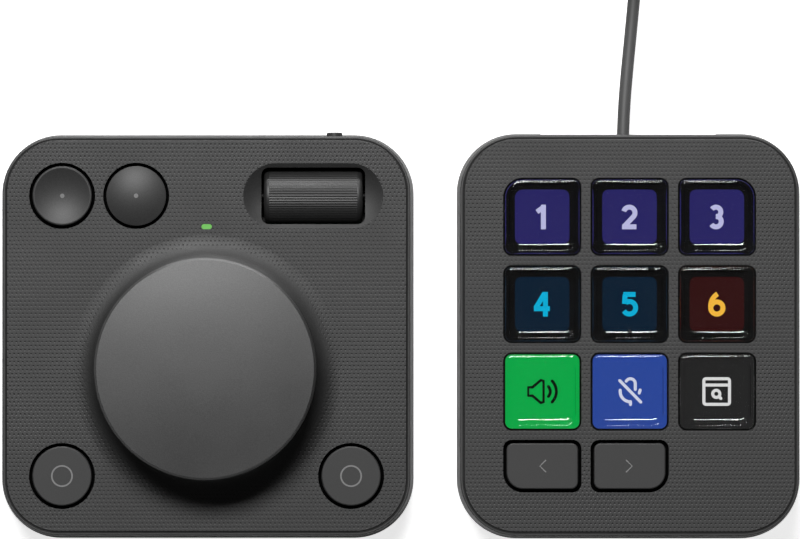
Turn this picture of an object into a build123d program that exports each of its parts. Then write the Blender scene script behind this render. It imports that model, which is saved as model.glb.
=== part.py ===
from build123d import *
import math
import os

# A desk control pair: a wireless dial unit on the left and a wired nine-key display keypad on
# the right, standing side by side. Millimetres; +X right, +Y to the rear, +Z up, feet on Z = 0.

# ------------------------------------------------------------------ overall sizes
DIAL_UNIT_WIDTH = 94.0
KEYPAD_WIDTH = 78.0
UNIT_DEPTH = 92.0
UNIT_GAP = 9.8
DIAL_PANEL_TOP = 15.5
KEYPAD_PANEL_TOP = 25.0
CORNER = 13.5
FOOT_PROUD = 0.8
KEYPAD_WALL_FOOT = 9.5
# ------------------------------------------------------------------ housings, both units
WALL = 1.9
WALL_LEAN = 0.75
RIM = 0.45
RIM_DROP = 0.15
RIM_ROUND = 0.25
SEAM = 0.35
PANEL_THICKNESS = 2.0
PANEL_EDGE = 0.2
BASE_THICKNESS = 1.8
BASE_FIT = 0.1
FOOT_RADIUS = 4.5
FOOT_RECESS = 0.5
FOOT_FIT = 0.1
FOOT_EDGE = 0.3
BOARD_THICKNESS = 1.0
BOSS_RADIUS = 2.3
SCREW_RADIUS = 0.9
SCREW_HEAD_RADIUS = 1.9
SCREW_HEAD_HEIGHT = 1.3
SCREW_HEAD_ROUND = 0.5
SCREW_HOLE_ROOF = 1.0
SCREW_FIT = 0.2
BASE_BOSS_RADIUS = 2.6
POST_RADIUS = 2.0
SWITCH_SIZE = 6.0
SWITCH_BODY = 1.8
PLUNGER_RADIUS = 1.6
PLUNGER = 0.6
PRESS_GAP = 0.05
FLANGE_DROP = 0.15

# ------------------------------------------------------------------ dial
DIAL_Y = -7.6
DIAL_RADIUS = 25.0
DIAL_HEIGHT = 14.9
DIAL_GAP = 0.6
DIAL_EDGE = 0.5
DIAL_BULGE = 0.9
DIAL_WALL = 2.0
DIAL_CROWN = 2.2
COLLAR_REACH = 5.5
COLLAR_SWEEP = 5.9
COLLAR_RISE = 3.0
COLLAR_WIDTH = 9.0
SPINDLE_RADIUS = 3.0
SPINDLE_FIT = 0.05
SPINDLE_END = 1.0
BUSH_WALL = 2.0
BUSH_RISE = 4.5
BUSH_HEAD = 0.4
BUSH_HEAD_REACH = 1.0
HOUSING_WALL = 3.0
HOUSING_FLANGE_REACH = 3.5
HOUSING_FLANGE_THICKNESS = 1.6
HOUSING_SCREW_RADIUS = 1.5
HOUSING_SCREW_HEAD = 0.6
HOUSING_SCREW_BITE = 1.2
HUB_BOSS_WALL = 3.0
HUB_THICKNESS = 2.0
HUB_GAP = 0.2
HUB_RIBS = 6
HUB_RIB_THICKNESS = 1.2
HUB_RIB_CLEAR = 2.0
HUB_RIB_RISE = 1.5
CLIP_WALL = 1.6
CLIP_THICKNESS = 0.5
CLIP_GROOVE = 0.5
CLIP_GRIP = 0.3
ENCODER_RADIUS = 10.4
ENCODER_RISE = 1.8
ENCODER_THICKNESS = 0.6
ENCODER_BOSS_WALL = 1.2
ENCODER_SLOTS = 30
ENCODER_SLOT_WIDTH = 0.8
ENCODER_SLOT_LENGTH = 1.8
ENCODER_BAND = 0.8
SENSOR_WIDTH = 5.0
SENSOR_ARM = 0.7
SENSOR_GAP = 0.5
SENSOR_REACH = 2.8
SENSOR_BACK = 2.4

# ------------------------------------------------------------------ roller
ROLLER_FROM_SIDE = 22.8
ROLLER_RADIUS = 6.2
ROLLER_LENGTH = 22.4
ROLLER_PROUD = 0.8
RIB_COUNT = 66
RIB_DEPTH = 0.09
ROLLER_SMOOTH_END = 1.2
ROLLER_END_ROUND = 1.0
WINDOW_END_GAP = 0.6
WINDOW_GAP = 0.25
WINDOW_CORNER = 1.8
DISH_END = 4.1
DISH_SIDE = 0.95
DISH_SINK = 1.5
DISH_BACKING = 1.2
DISH_MARGIN = 1.1
AXLE_RADIUS = 1.0
AXLE_FIT = 0.05
AXLE_END = 0.6
CRADLE_WALL = 1.6
CRADLE_GAP = 0.7
CRADLE_DEPTH = 8.0
CRADLE_FLOOR = 1.2
CRADLE_TOP_GAP = 0.1
CRADLE_ROUND = 2.0
MAGNET_RADIUS = 1.8
MAGNET_LENGTH = 1.6
MAGNET_GAP = 0.4
ROLLER_CHIP = 3.0
ROLLER_CHIP_THICKNESS = 1.0
ROLLER_BOARD_WIDTH = 8.0
SENSOR_RELIEF = 0.4

# ------------------------------------------------------------------ round buttons and pairing button
BUTTON_INSET = 14.2
BUTTON_SPACING = 16.8
BUTTON_RADIUS = 6.75
BUTTON_GAP = 0.75
BUTTON_FLANGE_REACH = 0.4
BUTTON_FLANGE = 1.0
BUTTON_PROUD = 0.2
BUTTON_TRAVEL = 0.6
BUTTON_EDGE = 0.3
BUTTON_CURVE = 0.9
BUTTON_CURVE_RIM = 0.45
BUTTON_STEM_RADIUS = 1.5
PAIRING_FROM_SIDE = 18.0
PAIRING_RISE = 1.8
PAIRING_RADIUS = 1.8
PAIRING_FIT = 0.1
PAIRING_PROUD = 0.3
PAIRING_TRAVEL = 0.4
PAIRING_FLANGE = 0.8
PAIRING_FLANGE_REACH = 0.6
PAIRING_ROUND = 0.35
PAIRING_STEM = 1.2
PAIRING_STEM_RADIUS = 1.0
PAIRING_SWITCH_WIDTH = 5.0
PAIRING_SWITCH_DEPTH = 2.5
PAIRING_PLUNGER = 0.5
LED_FROM_REAR = 21.2
LED_LENGTH = 2.4
LED_WIDTH = 1.2
LED_FIT = 0.05
LIGHT_PIPE_STOP = 0.8
LIGHT_PIPE_GAP = 1.0

# ------------------------------------------------------------------ battery bay, two AAA cells
CELL_RADIUS = 5.2
CELL_LENGTH = 43.3
CELL_NUB_RADIUS = 1.9
CELL_NUB = 1.2
CELL_SPACE = 0.3
CELL_ABOVE_DOOR = 0.4
CELL_END_ROUND = 0.5
BAY_WIDTH = 52.0
BAY_DEPTH = 23.0
BAY_FROM_FRONT = 3.4
BAY_WALL = 1.2
BAY_WALL_TOP = 11.0
BOARD_CLEAR = 0.4
DOOR_THICKNESS = 1.4
DOOR_GAP = 0.25
DOOR_HINGE_OFFSET = 0.7
DOOR_HINGE_Z = 1.7
DOOR_HINGE_CLEAR = 1.3
DOOR_PIN_RADIUS = 0.7
DOOR_PIN_FIT = 0.05
DOOR_PIN_LENGTH = 6.2
DOOR_ARM_WIDTH = 3.0
DOOR_ARM_X = 18.0
DOOR_ARM_FIT = 0.3
DOOR_ARM_ROOT = 0.5
DOOR_ARM_TRIM = 0.1
DOOR_GRIP_RADIUS = 1.6
DOOR_GRIP_LENGTH = 12.0
DOOR_GRIP_FROM_EDGE = 3.0
DOOR_CORNER = 1.0
CONTACT_THICKNESS = 0.4
CONTACT_WIDTH = 8.4
CONTACT_DROP = 4.2
CONTACT_RISE = 3.2
SPRING_WIRE = 0.5
SPRING_RADIUS = 2.6
SPRING_TURNS = 3

# ------------------------------------------------------------------ dial unit's board, bosses and feet
DIAL_BOARD_DROP = 7.5
BOARD_EDGE_GAP = 2.0
DIAL_BOSS_INSET = 6.5
DIAL_BOSS_Y = (-14.0, 13.0)
REAR_BOSS_X = -2.0
DIAL_POST_INSET = (10.0, 8.0)
DIAL_FOOT_INSET = (9.5, 10.5)
SCREW_BITE = 4.0

# ------------------------------------------------------------------ keys
KEY_PITCH = 19.75
KEY_BAR = 2.05
KEY_REAR_MARGIN = 10.3
KEY_HOLE_CORNER = 2.0
KEY_HOLE_BIG_CORNER = 4.5
KEY_GAP = 0.45
KEY_PROUD = 0.8
KEY_TRAVEL = 0.9
KEY_FLANGE = 0.9
KEY_FLANGE_GAP = 0.1
KEY_FLANGE_REACH = 0.45
KEY_EDGE_ROUND = 0.65
KEY_RIM = 0.8
KEY_RIM_ROUND = 0.3
KEY_DISH_CORNER = 2.5
KEY_DISH_SINK = 0.55
KEY_DISH_SLOPE = 52.0
KEY_DISH_BLEND = 1.5
MIDDLE_KEY = "key_row2_column2"
NIB_RADIUS = 0.45
NIB_OFFSET = 6.2
PAGE_HOLE_DEPTH = 11.9
PAGE_GAP = 0.75
PAGE_PROUD = 0.2
PAGE_TRAVEL = 0.6
PAGE_STEM_RADIUS = 2.0

# ------------------------------------------------------------------ keypad inside and pedestal
PEDESTAL_INSET = 9.0
PEDESTAL_CORNER = 9.0
PEDESTAL_WALL = 1.8
FLANGE_THICKNESS = 1.6
REAR_RECESS_WIDTH = 40.0
REAR_RECESS = 0.32
GUIDE_GAP = 0.1
GUIDE_FIT = 0.15
MAT_GAP = 0.3
MAT_THICKNESS = 0.8
SHEET_THICKNESS = 0.3
DISPLAY_THICKNESS = 2.7
DISPLAY_MARGIN = 2.4
TRAY_THICKNESS = 1.4
TRAY_MARGIN = 0.5
TRAY_PAST_POST = 1.3
TRAY_LIP = 1.2
TRAY_FIT = 0.05
KEYPAD_BOSS_INSET = 4.7
KEYPAD_BOSS_FROM_ROW = (-20.1, 5.9)
KEYPAD_BOSS_HEIGHT = 1.2
KEYPAD_SCREW_BITE = 5.0
KEYPAD_POST_REACH = 0.2
TRAY_POST_INSET = (1.4, 4.1)
SWITCH_BOARD_DEPTH = 12.0
SWITCH_BOARD_GAP = 1.1
KEYPAD_FOOT_INSET = (6.0, 6.5)
MAIN_BOARD_INSET = 4.0
MAIN_BOARD_FRONT = 5.0
MAIN_BOARD_GAP = 0.8
MAIN_POST_INSET = 4.0

# ------------------------------------------------------------------ USB plug, socket and cord
PLUG_X = -1.15
PLUG_Z = 5.6
PLUG_SHELL_WIDTH = 8.3
PLUG_SHELL_HEIGHT = 2.5
PLUG_SHELL_LENGTH = 6.5
PLUG_BODY_WIDTH = 10.4
PLUG_BODY_HEIGHT = 5.6
PLUG_BODY_LENGTH = 14.0
PLUG_BODY_CORNER = 2.352
PLUG_BODY_ROUND = 0.8
PLUG_BOOT_ROOT = 2.52
PLUG_BOOT_LENGTH = 3.5
PLUG_BOOT_RADIUS = 2.1
PLUG_SHELL_WALL = 0.3
PLUG_SHELL_FLOOR = 1.0
PLUG_SEAT_GAP = 0.3
POCKET_DEPTH = 12.0
POCKET_ROOM = 0.7
POCKET_WALL = 1.2
SOCKET_WALL = 0.3
OVAL_TRIM = 0.05
SOCKET_FIT = 0.1
SOCKET_LENGTH = 7.3
CORD_RADIUS = 1.4
ARC_SHARE = 0.45
COIL_CENTRE = (35.1, 104.5)
COIL_OUTER = 21.1
COIL_INNER = 9.9
COIL_HEIGHT = 11.2
COIL_ROUND = 1.4
FAR_PLUG_Z = 2.8

SIDES = (-1, 1)

# ------------------------------------------------------------------ values worked out from them
DIAL_UNIT_X = (DIAL_UNIT_WIDTH - KEYPAD_WIDTH) / 2 - (DIAL_UNIT_WIDTH + UNIT_GAP) / 2
KEYPAD_X = DIAL_UNIT_X + (DIAL_UNIT_WIDTH + KEYPAD_WIDTH) / 2 + UNIT_GAP
UNIT_Y = -PAIRING_PROUD / 2
HALF_DEPTH = UNIT_DEPTH / 2
HALF_DIAL_UNIT = DIAL_UNIT_WIDTH / 2
HALF_KEYPAD = KEYPAD_WIDTH / 2
PANEL_INSET = WALL_LEAN + RIM + SEAM
BASE_TOP = FOOT_PROUD + BASE_THICKNESS

# Heights in the dial unit.
DIAL_PANEL_BOTTOM = DIAL_PANEL_TOP - PANEL_THICKNESS
DIAL_BOARD_TOP = DIAL_PANEL_TOP - DIAL_BOARD_DROP
DIAL_BOARD_BOTTOM = DIAL_BOARD_TOP - BOARD_THICKNESS
COLLAR_TOP = DIAL_PANEL_TOP + COLLAR_RISE
DIAL_BOTTOM = COLLAR_TOP + DIAL_GAP
DIAL_TOP = DIAL_BOTTOM + DIAL_HEIGHT
DIAL_CEILING = DIAL_TOP - DIAL_CROWN
BUSH_BOTTOM = DIAL_PANEL_BOTTOM - HOUSING_FLANGE_THICKNESS
BUSH_TOP = COLLAR_TOP + BUSH_RISE
HOUSING_TOP = BUSH_TOP - BUSH_HEAD
ENCODER_BOTTOM = DIAL_BOARD_TOP + ENCODER_RISE
ENCODER_TOP = ENCODER_BOTTOM + ENCODER_THICKNESS
SPINDLE_BOTTOM = ENCODER_BOTTOM - SPINDLE_END
ROLLER_AXIS_Z = DIAL_PANEL_TOP + ROLLER_PROUD - ROLLER_RADIUS
CRADLE_TOP = DIAL_PANEL_BOTTOM - DISH_BACKING - CRADLE_TOP_GAP
PAIRING_Z = DIAL_BOARD_TOP + PAIRING_RISE
CELL_Z = FOOT_PROUD + DOOR_THICKNESS + CELL_ABOVE_DOOR + CELL_RADIUS

# Radii round the dial.
COLLAR_RADIUS = DIAL_RADIUS + COLLAR_REACH
COLLAR_BORE = COLLAR_RADIUS - COLLAR_WIDTH
BUSH_RADIUS = SPINDLE_RADIUS + BUSH_WALL
HOUSING_RADIUS = BUSH_RADIUS + HOUSING_WALL
HOUSING_FLANGE = HOUSING_RADIUS + HOUSING_FLANGE_REACH
HOUSING_SCREW_CIRCLE = (HOUSING_RADIUS + HOUSING_FLANGE) / 2
HUB_BOSS_RADIUS = SPINDLE_RADIUS + HUB_BOSS_WALL
CLIP_RADIUS = SPINDLE_RADIUS + CLIP_WALL

# Places in the dial unit's plan.
DIAL_AT = (0.0, DIAL_Y)
BUTTON_X = HALF_DIAL_UNIT - BUTTON_INSET
BUTTON_Y = HALF_DEPTH - BUTTON_INSET
BUTTON_HOLE_RADIUS = BUTTON_RADIUS + BUTTON_GAP
BUTTON_FLANGE_RADIUS = BUTTON_HOLE_RADIUS + BUTTON_FLANGE_REACH
ROLLER_AT = (HALF_DIAL_UNIT - ROLLER_FROM_SIDE, BUTTON_Y)
WINDOW_WIDTH = ROLLER_LENGTH + 2 * WINDOW_END_GAP
WINDOW_DEPTH = 2 * (ROLLER_RADIUS + WINDOW_GAP)
DISH_LENGTH = WINDOW_WIDTH + 2 * DISH_END
DISH_WIDTH = WINDOW_DEPTH + 2 * DISH_SIDE
LED_AT = (0.0, HALF_DEPTH - LED_FROM_REAR)
PAIRING_X = HALF_DIAL_UNIT - PAIRING_FROM_SIDE
PAIRING_TIP = HALF_DEPTH + PAIRING_PROUD
BAY_FRONT = BAY_FROM_FRONT - HALF_DEPTH
BAY_REAR = BAY_FRONT + BAY_DEPTH
BAY_Y = (BAY_FRONT + BAY_REAR) / 2
DOOR_HINGE_Y = BAY_REAR + DOOR_HINGE_OFFSET
DOOR_HINGE = (DOOR_HINGE_Y, DOOR_HINGE_Z)
BUTTON_PLACES = {
    "round_button_dished": (-BUTTON_X, BUTTON_Y),
    "round_button_domed": (BUTTON_SPACING - BUTTON_X, BUTTON_Y),
    "round_button_left": (-BUTTON_X, -BUTTON_Y),
    "round_button_right": (BUTTON_X, -BUTTON_Y),
}
DIAL_BOSSES = [(side * (HALF_DIAL_UNIT - DIAL_BOSS_INSET), y) for side in SIDES for y in DIAL_BOSS_Y]
DIAL_BOSSES.append((REAR_BOSS_X, HALF_DEPTH - DIAL_BOSS_INSET))
DIAL_POSTS = [
    (side_x * (HALF_DIAL_UNIT - DIAL_POST_INSET[0]), side_y * (HALF_DEPTH - DIAL_POST_INSET[1]))
    for side_x in SIDES
    for side_y in SIDES
]
DIAL_FEET = (HALF_DIAL_UNIT - DIAL_FOOT_INSET[0], HALF_DEPTH - DIAL_FOOT_INSET[1])

# Heights in the keypad.
KEYPAD_PANEL_BOTTOM = KEYPAD_PANEL_TOP - PANEL_THICKNESS
KEY_BOTTOM = KEYPAD_PANEL_BOTTOM - KEY_FLANGE_GAP - KEY_FLANGE
MAT_TOP = KEY_BOTTOM - KEY_TRAVEL - MAT_GAP
SHEET_BOTTOM = MAT_TOP - MAT_THICKNESS - SHEET_THICKNESS
DISPLAY_BOTTOM = SHEET_BOTTOM - DISPLAY_THICKNESS
TRAY_BOTTOM = DISPLAY_BOTTOM - TRAY_THICKNESS
SWITCH_BOARD_TOP = TRAY_BOTTOM
FLANGE_TOP = KEYPAD_WALL_FOOT + FLANGE_THICKNESS
KEYPAD_BOSS_TOP = FLANGE_TOP + KEYPAD_BOSS_HEIGHT
MAIN_BOARD_TOP = PLUG_Z - PLUG_SHELL_HEIGHT / 2 - SOCKET_FIT - SOCKET_WALL

# Places in the keypad's plan.
KEY_HOLE = KEY_PITCH - KEY_BAR
KEY_ROW_TOP = HALF_DEPTH - KEY_REAR_MARGIN - KEY_HOLE / 2
KEY_ROWS = [KEY_ROW_TOP - KEY_PITCH * row for row in range(3)]
KEY_COLUMNS = [KEY_PITCH * (column - 1) for column in range(3)]
PAGE_ROW = KEY_ROWS[2] - KEY_HOLE / 2 - KEY_BAR - PAGE_HOLE_DEPTH / 2
PAGE_COLUMNS = KEY_COLUMNS[:2]
DISPLAY_SIZE = 2 * KEY_PITCH + KEY_HOLE + 2 * DISPLAY_MARGIN
PEDESTAL_WIDTH = KEYPAD_WIDTH - 2 * PEDESTAL_INSET
PEDESTAL_DEPTH = UNIT_DEPTH - 2 * PEDESTAL_INSET
PLUG_SEAT = PEDESTAL_DEPTH / 2 - POCKET_DEPTH + PLUG_SEAT_GAP
KEYPAD_BOSSES = [
    (side * (HALF_KEYPAD - KEYPAD_BOSS_INSET), KEY_ROWS[1] + offset)
    for side in SIDES
    for offset in KEYPAD_BOSS_FROM_ROW
]
KEYPAD_POST_X = PEDESTAL_WIDTH / 2 + KEYPAD_POST_REACH
TRAY_HALF_WIDTH = max(DISPLAY_SIZE / 2 + TRAY_MARGIN, KEYPAD_POST_X + TRAY_PAST_POST)
TRAY_POST_Y = (
    KEY_ROWS[1] - DISPLAY_SIZE / 2 + TRAY_POST_INSET[0],
    KEY_ROWS[1] + DISPLAY_SIZE / 2 - TRAY_POST_INSET[1],
)
SWITCH_BOARD_REAR = KEY_ROWS[1] - DISPLAY_SIZE / 2 - TRAY_MARGIN - SWITCH_BOARD_GAP
SWITCH_BOARD_Y = SWITCH_BOARD_REAR - SWITCH_BOARD_DEPTH / 2
KEYPAD_FEET = (PEDESTAL_WIDTH / 2 - KEYPAD_FOOT_INSET[0], PEDESTAL_DEPTH / 2 - KEYPAD_FOOT_INSET[1])
MAIN_BOARD_WIDTH = PEDESTAL_WIDTH - 2 * MAIN_BOARD_INSET
MAIN_BOARD_Y = (
    MAIN_BOARD_FRONT - PEDESTAL_DEPTH / 2,
    PEDESTAL_DEPTH / 2 - POCKET_DEPTH - POCKET_WALL - MAIN_BOARD_GAP,
)

# The cord from the keypad's plug to the coil, and from the coil to the far plug.
CORD_EXIT = (KEYPAD_X + PLUG_X, UNIT_Y + PLUG_SEAT + PLUG_BODY_LENGTH + PLUG_BOOT_LENGTH, PLUG_Z)
CORD_RUN = [
    CORD_EXIT,
    (50.92, 48.40, 5.25),
    (51.35, 55.20, 3.85),
    (52.05, 62.60, 2.30),
    (52.85, 70.40, 1.55),
    (53.60, 78.50, 1.42),
    (54.35, 87.00, 1.40),
    (54.78, 95.80, 1.40),
    (54.80, 104.00, 1.45),
]
CORD_TAIL = [
    (34.00, 119.60, 9.80),
    (26.00, 119.40, 9.30),
    (17.50, 120.20, 6.70),
    (9.00, 121.60, 3.60),
    (0.50, 122.90, 1.90),
    (-8.50, 123.80, 1.50),
    (-17.50, 124.10, 2.05),
    (-26.00, 124.20, FAR_PLUG_Z),
]

ON_TOP = (Align.CENTER, Align.CENTER, Align.MIN)


# ------------------------------------------------------------------ basic forms
def slab(width, depth, corner, bottom, top):
    """Upright block with rounded corners, centred on the unit's axis."""
    return extrude(Pos(0, 0, bottom) * RectangleRounded(width, depth, corner), top - bottom)


def block(x_span, y_span, z_span):
    """Plain block between two values on each axis."""
    size = [high - low for low, high in (x_span, y_span, z_span)]
    centre = [(low + high) / 2 for low, high in (x_span, y_span, z_span)]
    return Pos(*centre) * Box(*size)


def disc(radius, bottom, top, at=(0.0, 0.0)):
    """Upright cylinder between two heights."""
    return Pos(at[0], at[1], bottom) * Cylinder(radius, top - bottom, align=ON_TOP)


def rod_x(radius, x_from, x_to, y, z):
    """Cylinder along X."""
    return Pos(x_from, y, z) * Rot(0, 90, 0) * Cylinder(radius, x_to - x_from, align=ON_TOP)


def rod_y(radius, y_from, y_to, x, z):
    """Cylinder along Y."""
    return Pos(x, y_from, z) * Rot(-90, 0, 0) * Cylinder(radius, y_to - y_from, align=ON_TOP)


def top_edges(solid):
    """Edges of the highest flat face."""
    return solid.faces().sort_by(Axis.Z)[-1].edges()


def screw(at, head_bottom, length):
    """Pan-head screw driven upwards."""
    head_top = head_bottom + SCREW_HEAD_HEIGHT
    head = disc(SCREW_HEAD_RADIUS, head_bottom, head_top, at)
    head = fillet(head.edges().sort_by(Axis.Z)[0], SCREW_HEAD_ROUND)
    return head + disc(SCREW_RADIUS, head_top, head_top + length, at)


def switch(at, board_top):
    """Push switch on a board, drawn with its plunger at the height it is pressed to."""
    x, y = at
    half = SWITCH_SIZE / 2
    body = block((x - half, x + half), (y - half, y + half), (board_top, board_top + SWITCH_BODY))
    return body + disc(PLUNGER_RADIUS, board_top + SWITCH_BODY, board_top + SWITCH_BODY + PLUNGER, at)


def feet(centres):
    """Round rubber feet set into recesses in a base."""
    top = FOOT_PROUD + FOOT_RECESS
    pads = [disc(FOOT_RADIUS, 0, top, (sx * centres[0], sy * centres[1])) for sx in SIDES for sy in SIDES]
    return [chamfer(pad.edges().sort_by(Axis.Z)[0], FOOT_EDGE) for pad in pads]


def foot_recesses(centres):
    """Cutters for the recesses that the feet sit in."""
    top = FOOT_PROUD + FOOT_RECESS
    return [
        disc(FOOT_RADIUS + FOOT_FIT, 0, top, (sx * centres[0], sy * centres[1]))
        for sx in SIDES
        for sy in SIDES
    ]


# ------------------------------------------------------------------ housing pieces of both units
def side_frame(width, foot, panel_top):
    """Side wall that leans in from its foot, with a thin rim round the panel's pocket."""
    rim_top = panel_top - RIM_DROP
    lean = math.degrees(math.atan(WALL_LEAN / (rim_top - foot)))
    outline = Pos(0, 0, foot) * RectangleRounded(width, UNIT_DEPTH, CORNER)
    frame = extrude(outline, rim_top - foot, taper=lean)
    frame = fillet(top_edges(frame), RIM_ROUND)
    frame = chamfer(frame.faces().sort_by(Axis.Z)[0].edges(), RIM_ROUND)
    frame -= slab(width - 2 * WALL, UNIT_DEPTH - 2 * WALL, CORNER - WALL, foot, rim_top)
    pocket = PANEL_INSET - SEAM
    ledge = panel_top - PANEL_THICKNESS
    return frame - slab(width - 2 * pocket, UNIT_DEPTH - 2 * pocket, CORNER - pocket, ledge, rim_top)


def panel_blank(width, panel_top):
    """Flat top panel before anything is cut into it."""
    size = (width - 2 * PANEL_INSET, UNIT_DEPTH - 2 * PANEL_INSET)
    panel = slab(*size, CORNER - PANEL_INSET, panel_top - PANEL_THICKNESS, panel_top)
    return chamfer(top_edges(panel), PANEL_EDGE)


def inner_slab(width, bottom, top):
    """Plate that fits inside a side frame."""
    inset = WALL + BASE_FIT
    return slab(width - 2 * inset, UNIT_DEPTH - 2 * inset, CORNER - inset, bottom, top)


def screw_boss(at, bottom, top):
    """Boss below a panel with a screw hole up its middle."""
    return disc(BOSS_RADIUS, bottom, top, at) - disc(SCREW_RADIUS, bottom, top - SCREW_HOLE_ROOF, at)


def base_boss(at, bottom, top):
    """Boss on a base that carries a screw's head."""
    return disc(BASE_BOSS_RADIUS, bottom, top, at)


def base_screw_hole(at, bottom, top):
    """Cutter for a screw's counterbore and clearance hole."""
    head = disc(SCREW_HEAD_RADIUS + SCREW_FIT, bottom, bottom + SCREW_HEAD_HEIGHT + SCREW_FIT, at)
    return head + disc(SCREW_RADIUS + SCREW_FIT, bottom, top, at)


# ------------------------------------------------------------------ dial unit
def dial_unit_frame():
    """Side frame of the dial unit with the pairing button's hole in its rear wall."""
    frame = side_frame(DIAL_UNIT_WIDTH, FOOT_PROUD, DIAL_PANEL_TOP)
    hole = (HALF_DEPTH - 2 * WALL, HALF_DEPTH + WALL)
    return frame - rod_y(PAIRING_RADIUS + PAIRING_FIT, *hole, PAIRING_X, PAIRING_Z)


def collar():
    """Flared neck that rises out of the panel below the dial."""
    centre = (COLLAR_RADIUS, COLLAR_TOP)
    flare = EllipticalCenterArc(centre, COLLAR_SWEEP, COLLAR_RISE, start_angle=180, arc_size=90)
    root = DIAL_PANEL_TOP - PANEL_THICKNESS / 2
    profile = flare + Polyline(
        flare @ 1,
        (COLLAR_RADIUS, root),
        (COLLAR_BORE, root),
        (COLLAR_BORE, COLLAR_TOP),
        flare @ 0,
    )
    return revolve(Plane.XZ * make_face(profile), Axis.Z)


def roller_dish():
    """Cutter for the shallow stadium-shaped bowl round the roller: a trough with rounded ends."""
    radius = ((DISH_WIDTH / 2) ** 2 + DISH_SINK**2) / (2 * DISH_SINK)
    reach = (DISH_LENGTH - DISH_WIDTH) / 2
    band = Rectangle(2 * radius, 2 * DISH_SINK)
    section = band & Pos(0, radius - DISH_SINK) * Circle(radius)
    bowl = extrude(Plane.YZ * section, reach, both=True)
    half_section = section & Pos(radius / 2, 0) * Rectangle(radius, 2 * DISH_SINK)
    end = revolve(Plane.XZ * half_section, Axis.Z, 180)
    for side in SIDES:
        bowl += Pos(side * reach, 0, 0) * Rot(0, 0, -90 * side) * end
    return Pos(*ROLLER_AT, DIAL_PANEL_TOP) * bowl


def roller_sensor_relief():
    """Cutter that clears the bowl's backing from above the roller's magnet and sensor."""
    x, y = ROLLER_AT
    start = x + WINDOW_WIDTH / 2 + CRADLE_WALL
    half = ROLLER_BOARD_WIDTH / 2 + SENSOR_RELIEF
    level = (DIAL_PANEL_BOTTOM - DISH_BACKING, DIAL_PANEL_BOTTOM)
    return block((start, x + DISH_LENGTH), (y - half, y + half), level)


def dial_unit_panel():
    """Top panel: collar, roller bowl and window, button holes, lamp slot and screw bosses."""
    bottom, top = DIAL_PANEL_BOTTOM, DIAL_PANEL_TOP
    backing = SlotOverall(DISH_LENGTH + 2 * DISH_MARGIN, DISH_WIDTH + 2 * DISH_MARGIN)
    panel = panel_blank(DIAL_UNIT_WIDTH, top)
    panel += Pos(*ROLLER_AT, bottom - DISH_BACKING) * extrude(backing, DISH_BACKING)
    panel -= roller_dish()
    window = RectangleRounded(WINDOW_WIDTH, WINDOW_DEPTH, WINDOW_CORNER)
    panel -= Pos(*ROLLER_AT, bottom - DISH_BACKING) * extrude(window, DISH_BACKING + PANEL_THICKNESS)
    panel -= roller_sensor_relief()
    for at in BUTTON_PLACES.values():
        panel -= disc(BUTTON_HOLE_RADIUS, bottom, top, at)
    panel -= Pos(*LED_AT, bottom) * extrude(SlotOverall(LED_LENGTH, LED_WIDTH), PANEL_THICKNESS)
    panel += Pos(*DIAL_AT, 0) * collar()
    panel -= disc(HOUSING_RADIUS + HUB_GAP, bottom, top, DIAL_AT)
    for at in DIAL_BOSSES:
        panel += screw_boss(at, DIAL_BOARD_BOTTOM, bottom)
    for at in housing_screw_places():
        panel -= disc(SCREW_RADIUS, bottom, bottom + HOUSING_SCREW_BITE + SCREW_FIT, at)
    return panel


def dial_unit_base():
    """Bottom cover: battery bay, hinge sockets, screw bosses and board posts."""
    base = inner_slab(DIAL_UNIT_WIDTH, FOOT_PROUD, BASE_TOP)
    x_bay = BAY_WIDTH / 2
    x_wall = x_bay + BAY_WALL
    base += block((-x_wall, x_wall), (BAY_FRONT - BAY_WALL, BAY_REAR + BAY_WALL), (BASE_TOP, BAY_WALL_TOP))
    base -= block((-x_bay, x_bay), (BAY_FRONT, BAY_REAR), (FOOT_PROUD, BAY_WALL_TOP))
    for at in DIAL_BOSSES:
        base += base_boss(at, BASE_TOP, DIAL_BOARD_BOTTOM)
        base -= base_screw_hole(at, FOOT_PROUD, DIAL_BOARD_BOTTOM)
    for at in DIAL_POSTS:
        base += disc(POST_RADIUS, BASE_TOP, DIAL_BOARD_BOTTOM, at)
    for cutter in foot_recesses(DIAL_FEET):
        base -= cutter
    pin_reach = (DOOR_PIN_LENGTH + DOOR_ARM_FIT) / 2
    arm_reach = DOOR_ARM_WIDTH / 2 + DOOR_ARM_FIT
    arm_rear = DOOR_HINGE_Y + DOOR_PIN_RADIUS + DOOR_ARM_FIT
    for x in (-DOOR_ARM_X, DOOR_ARM_X):
        base -= rod_x(DOOR_PIN_RADIUS + DOOR_PIN_FIT, x - pin_reach, x + pin_reach, *DOOR_HINGE)
        base -= block((x - arm_reach, x + arm_reach), (BAY_REAR, arm_rear), (FOOT_PROUD, BASE_TOP))
    return base


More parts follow.
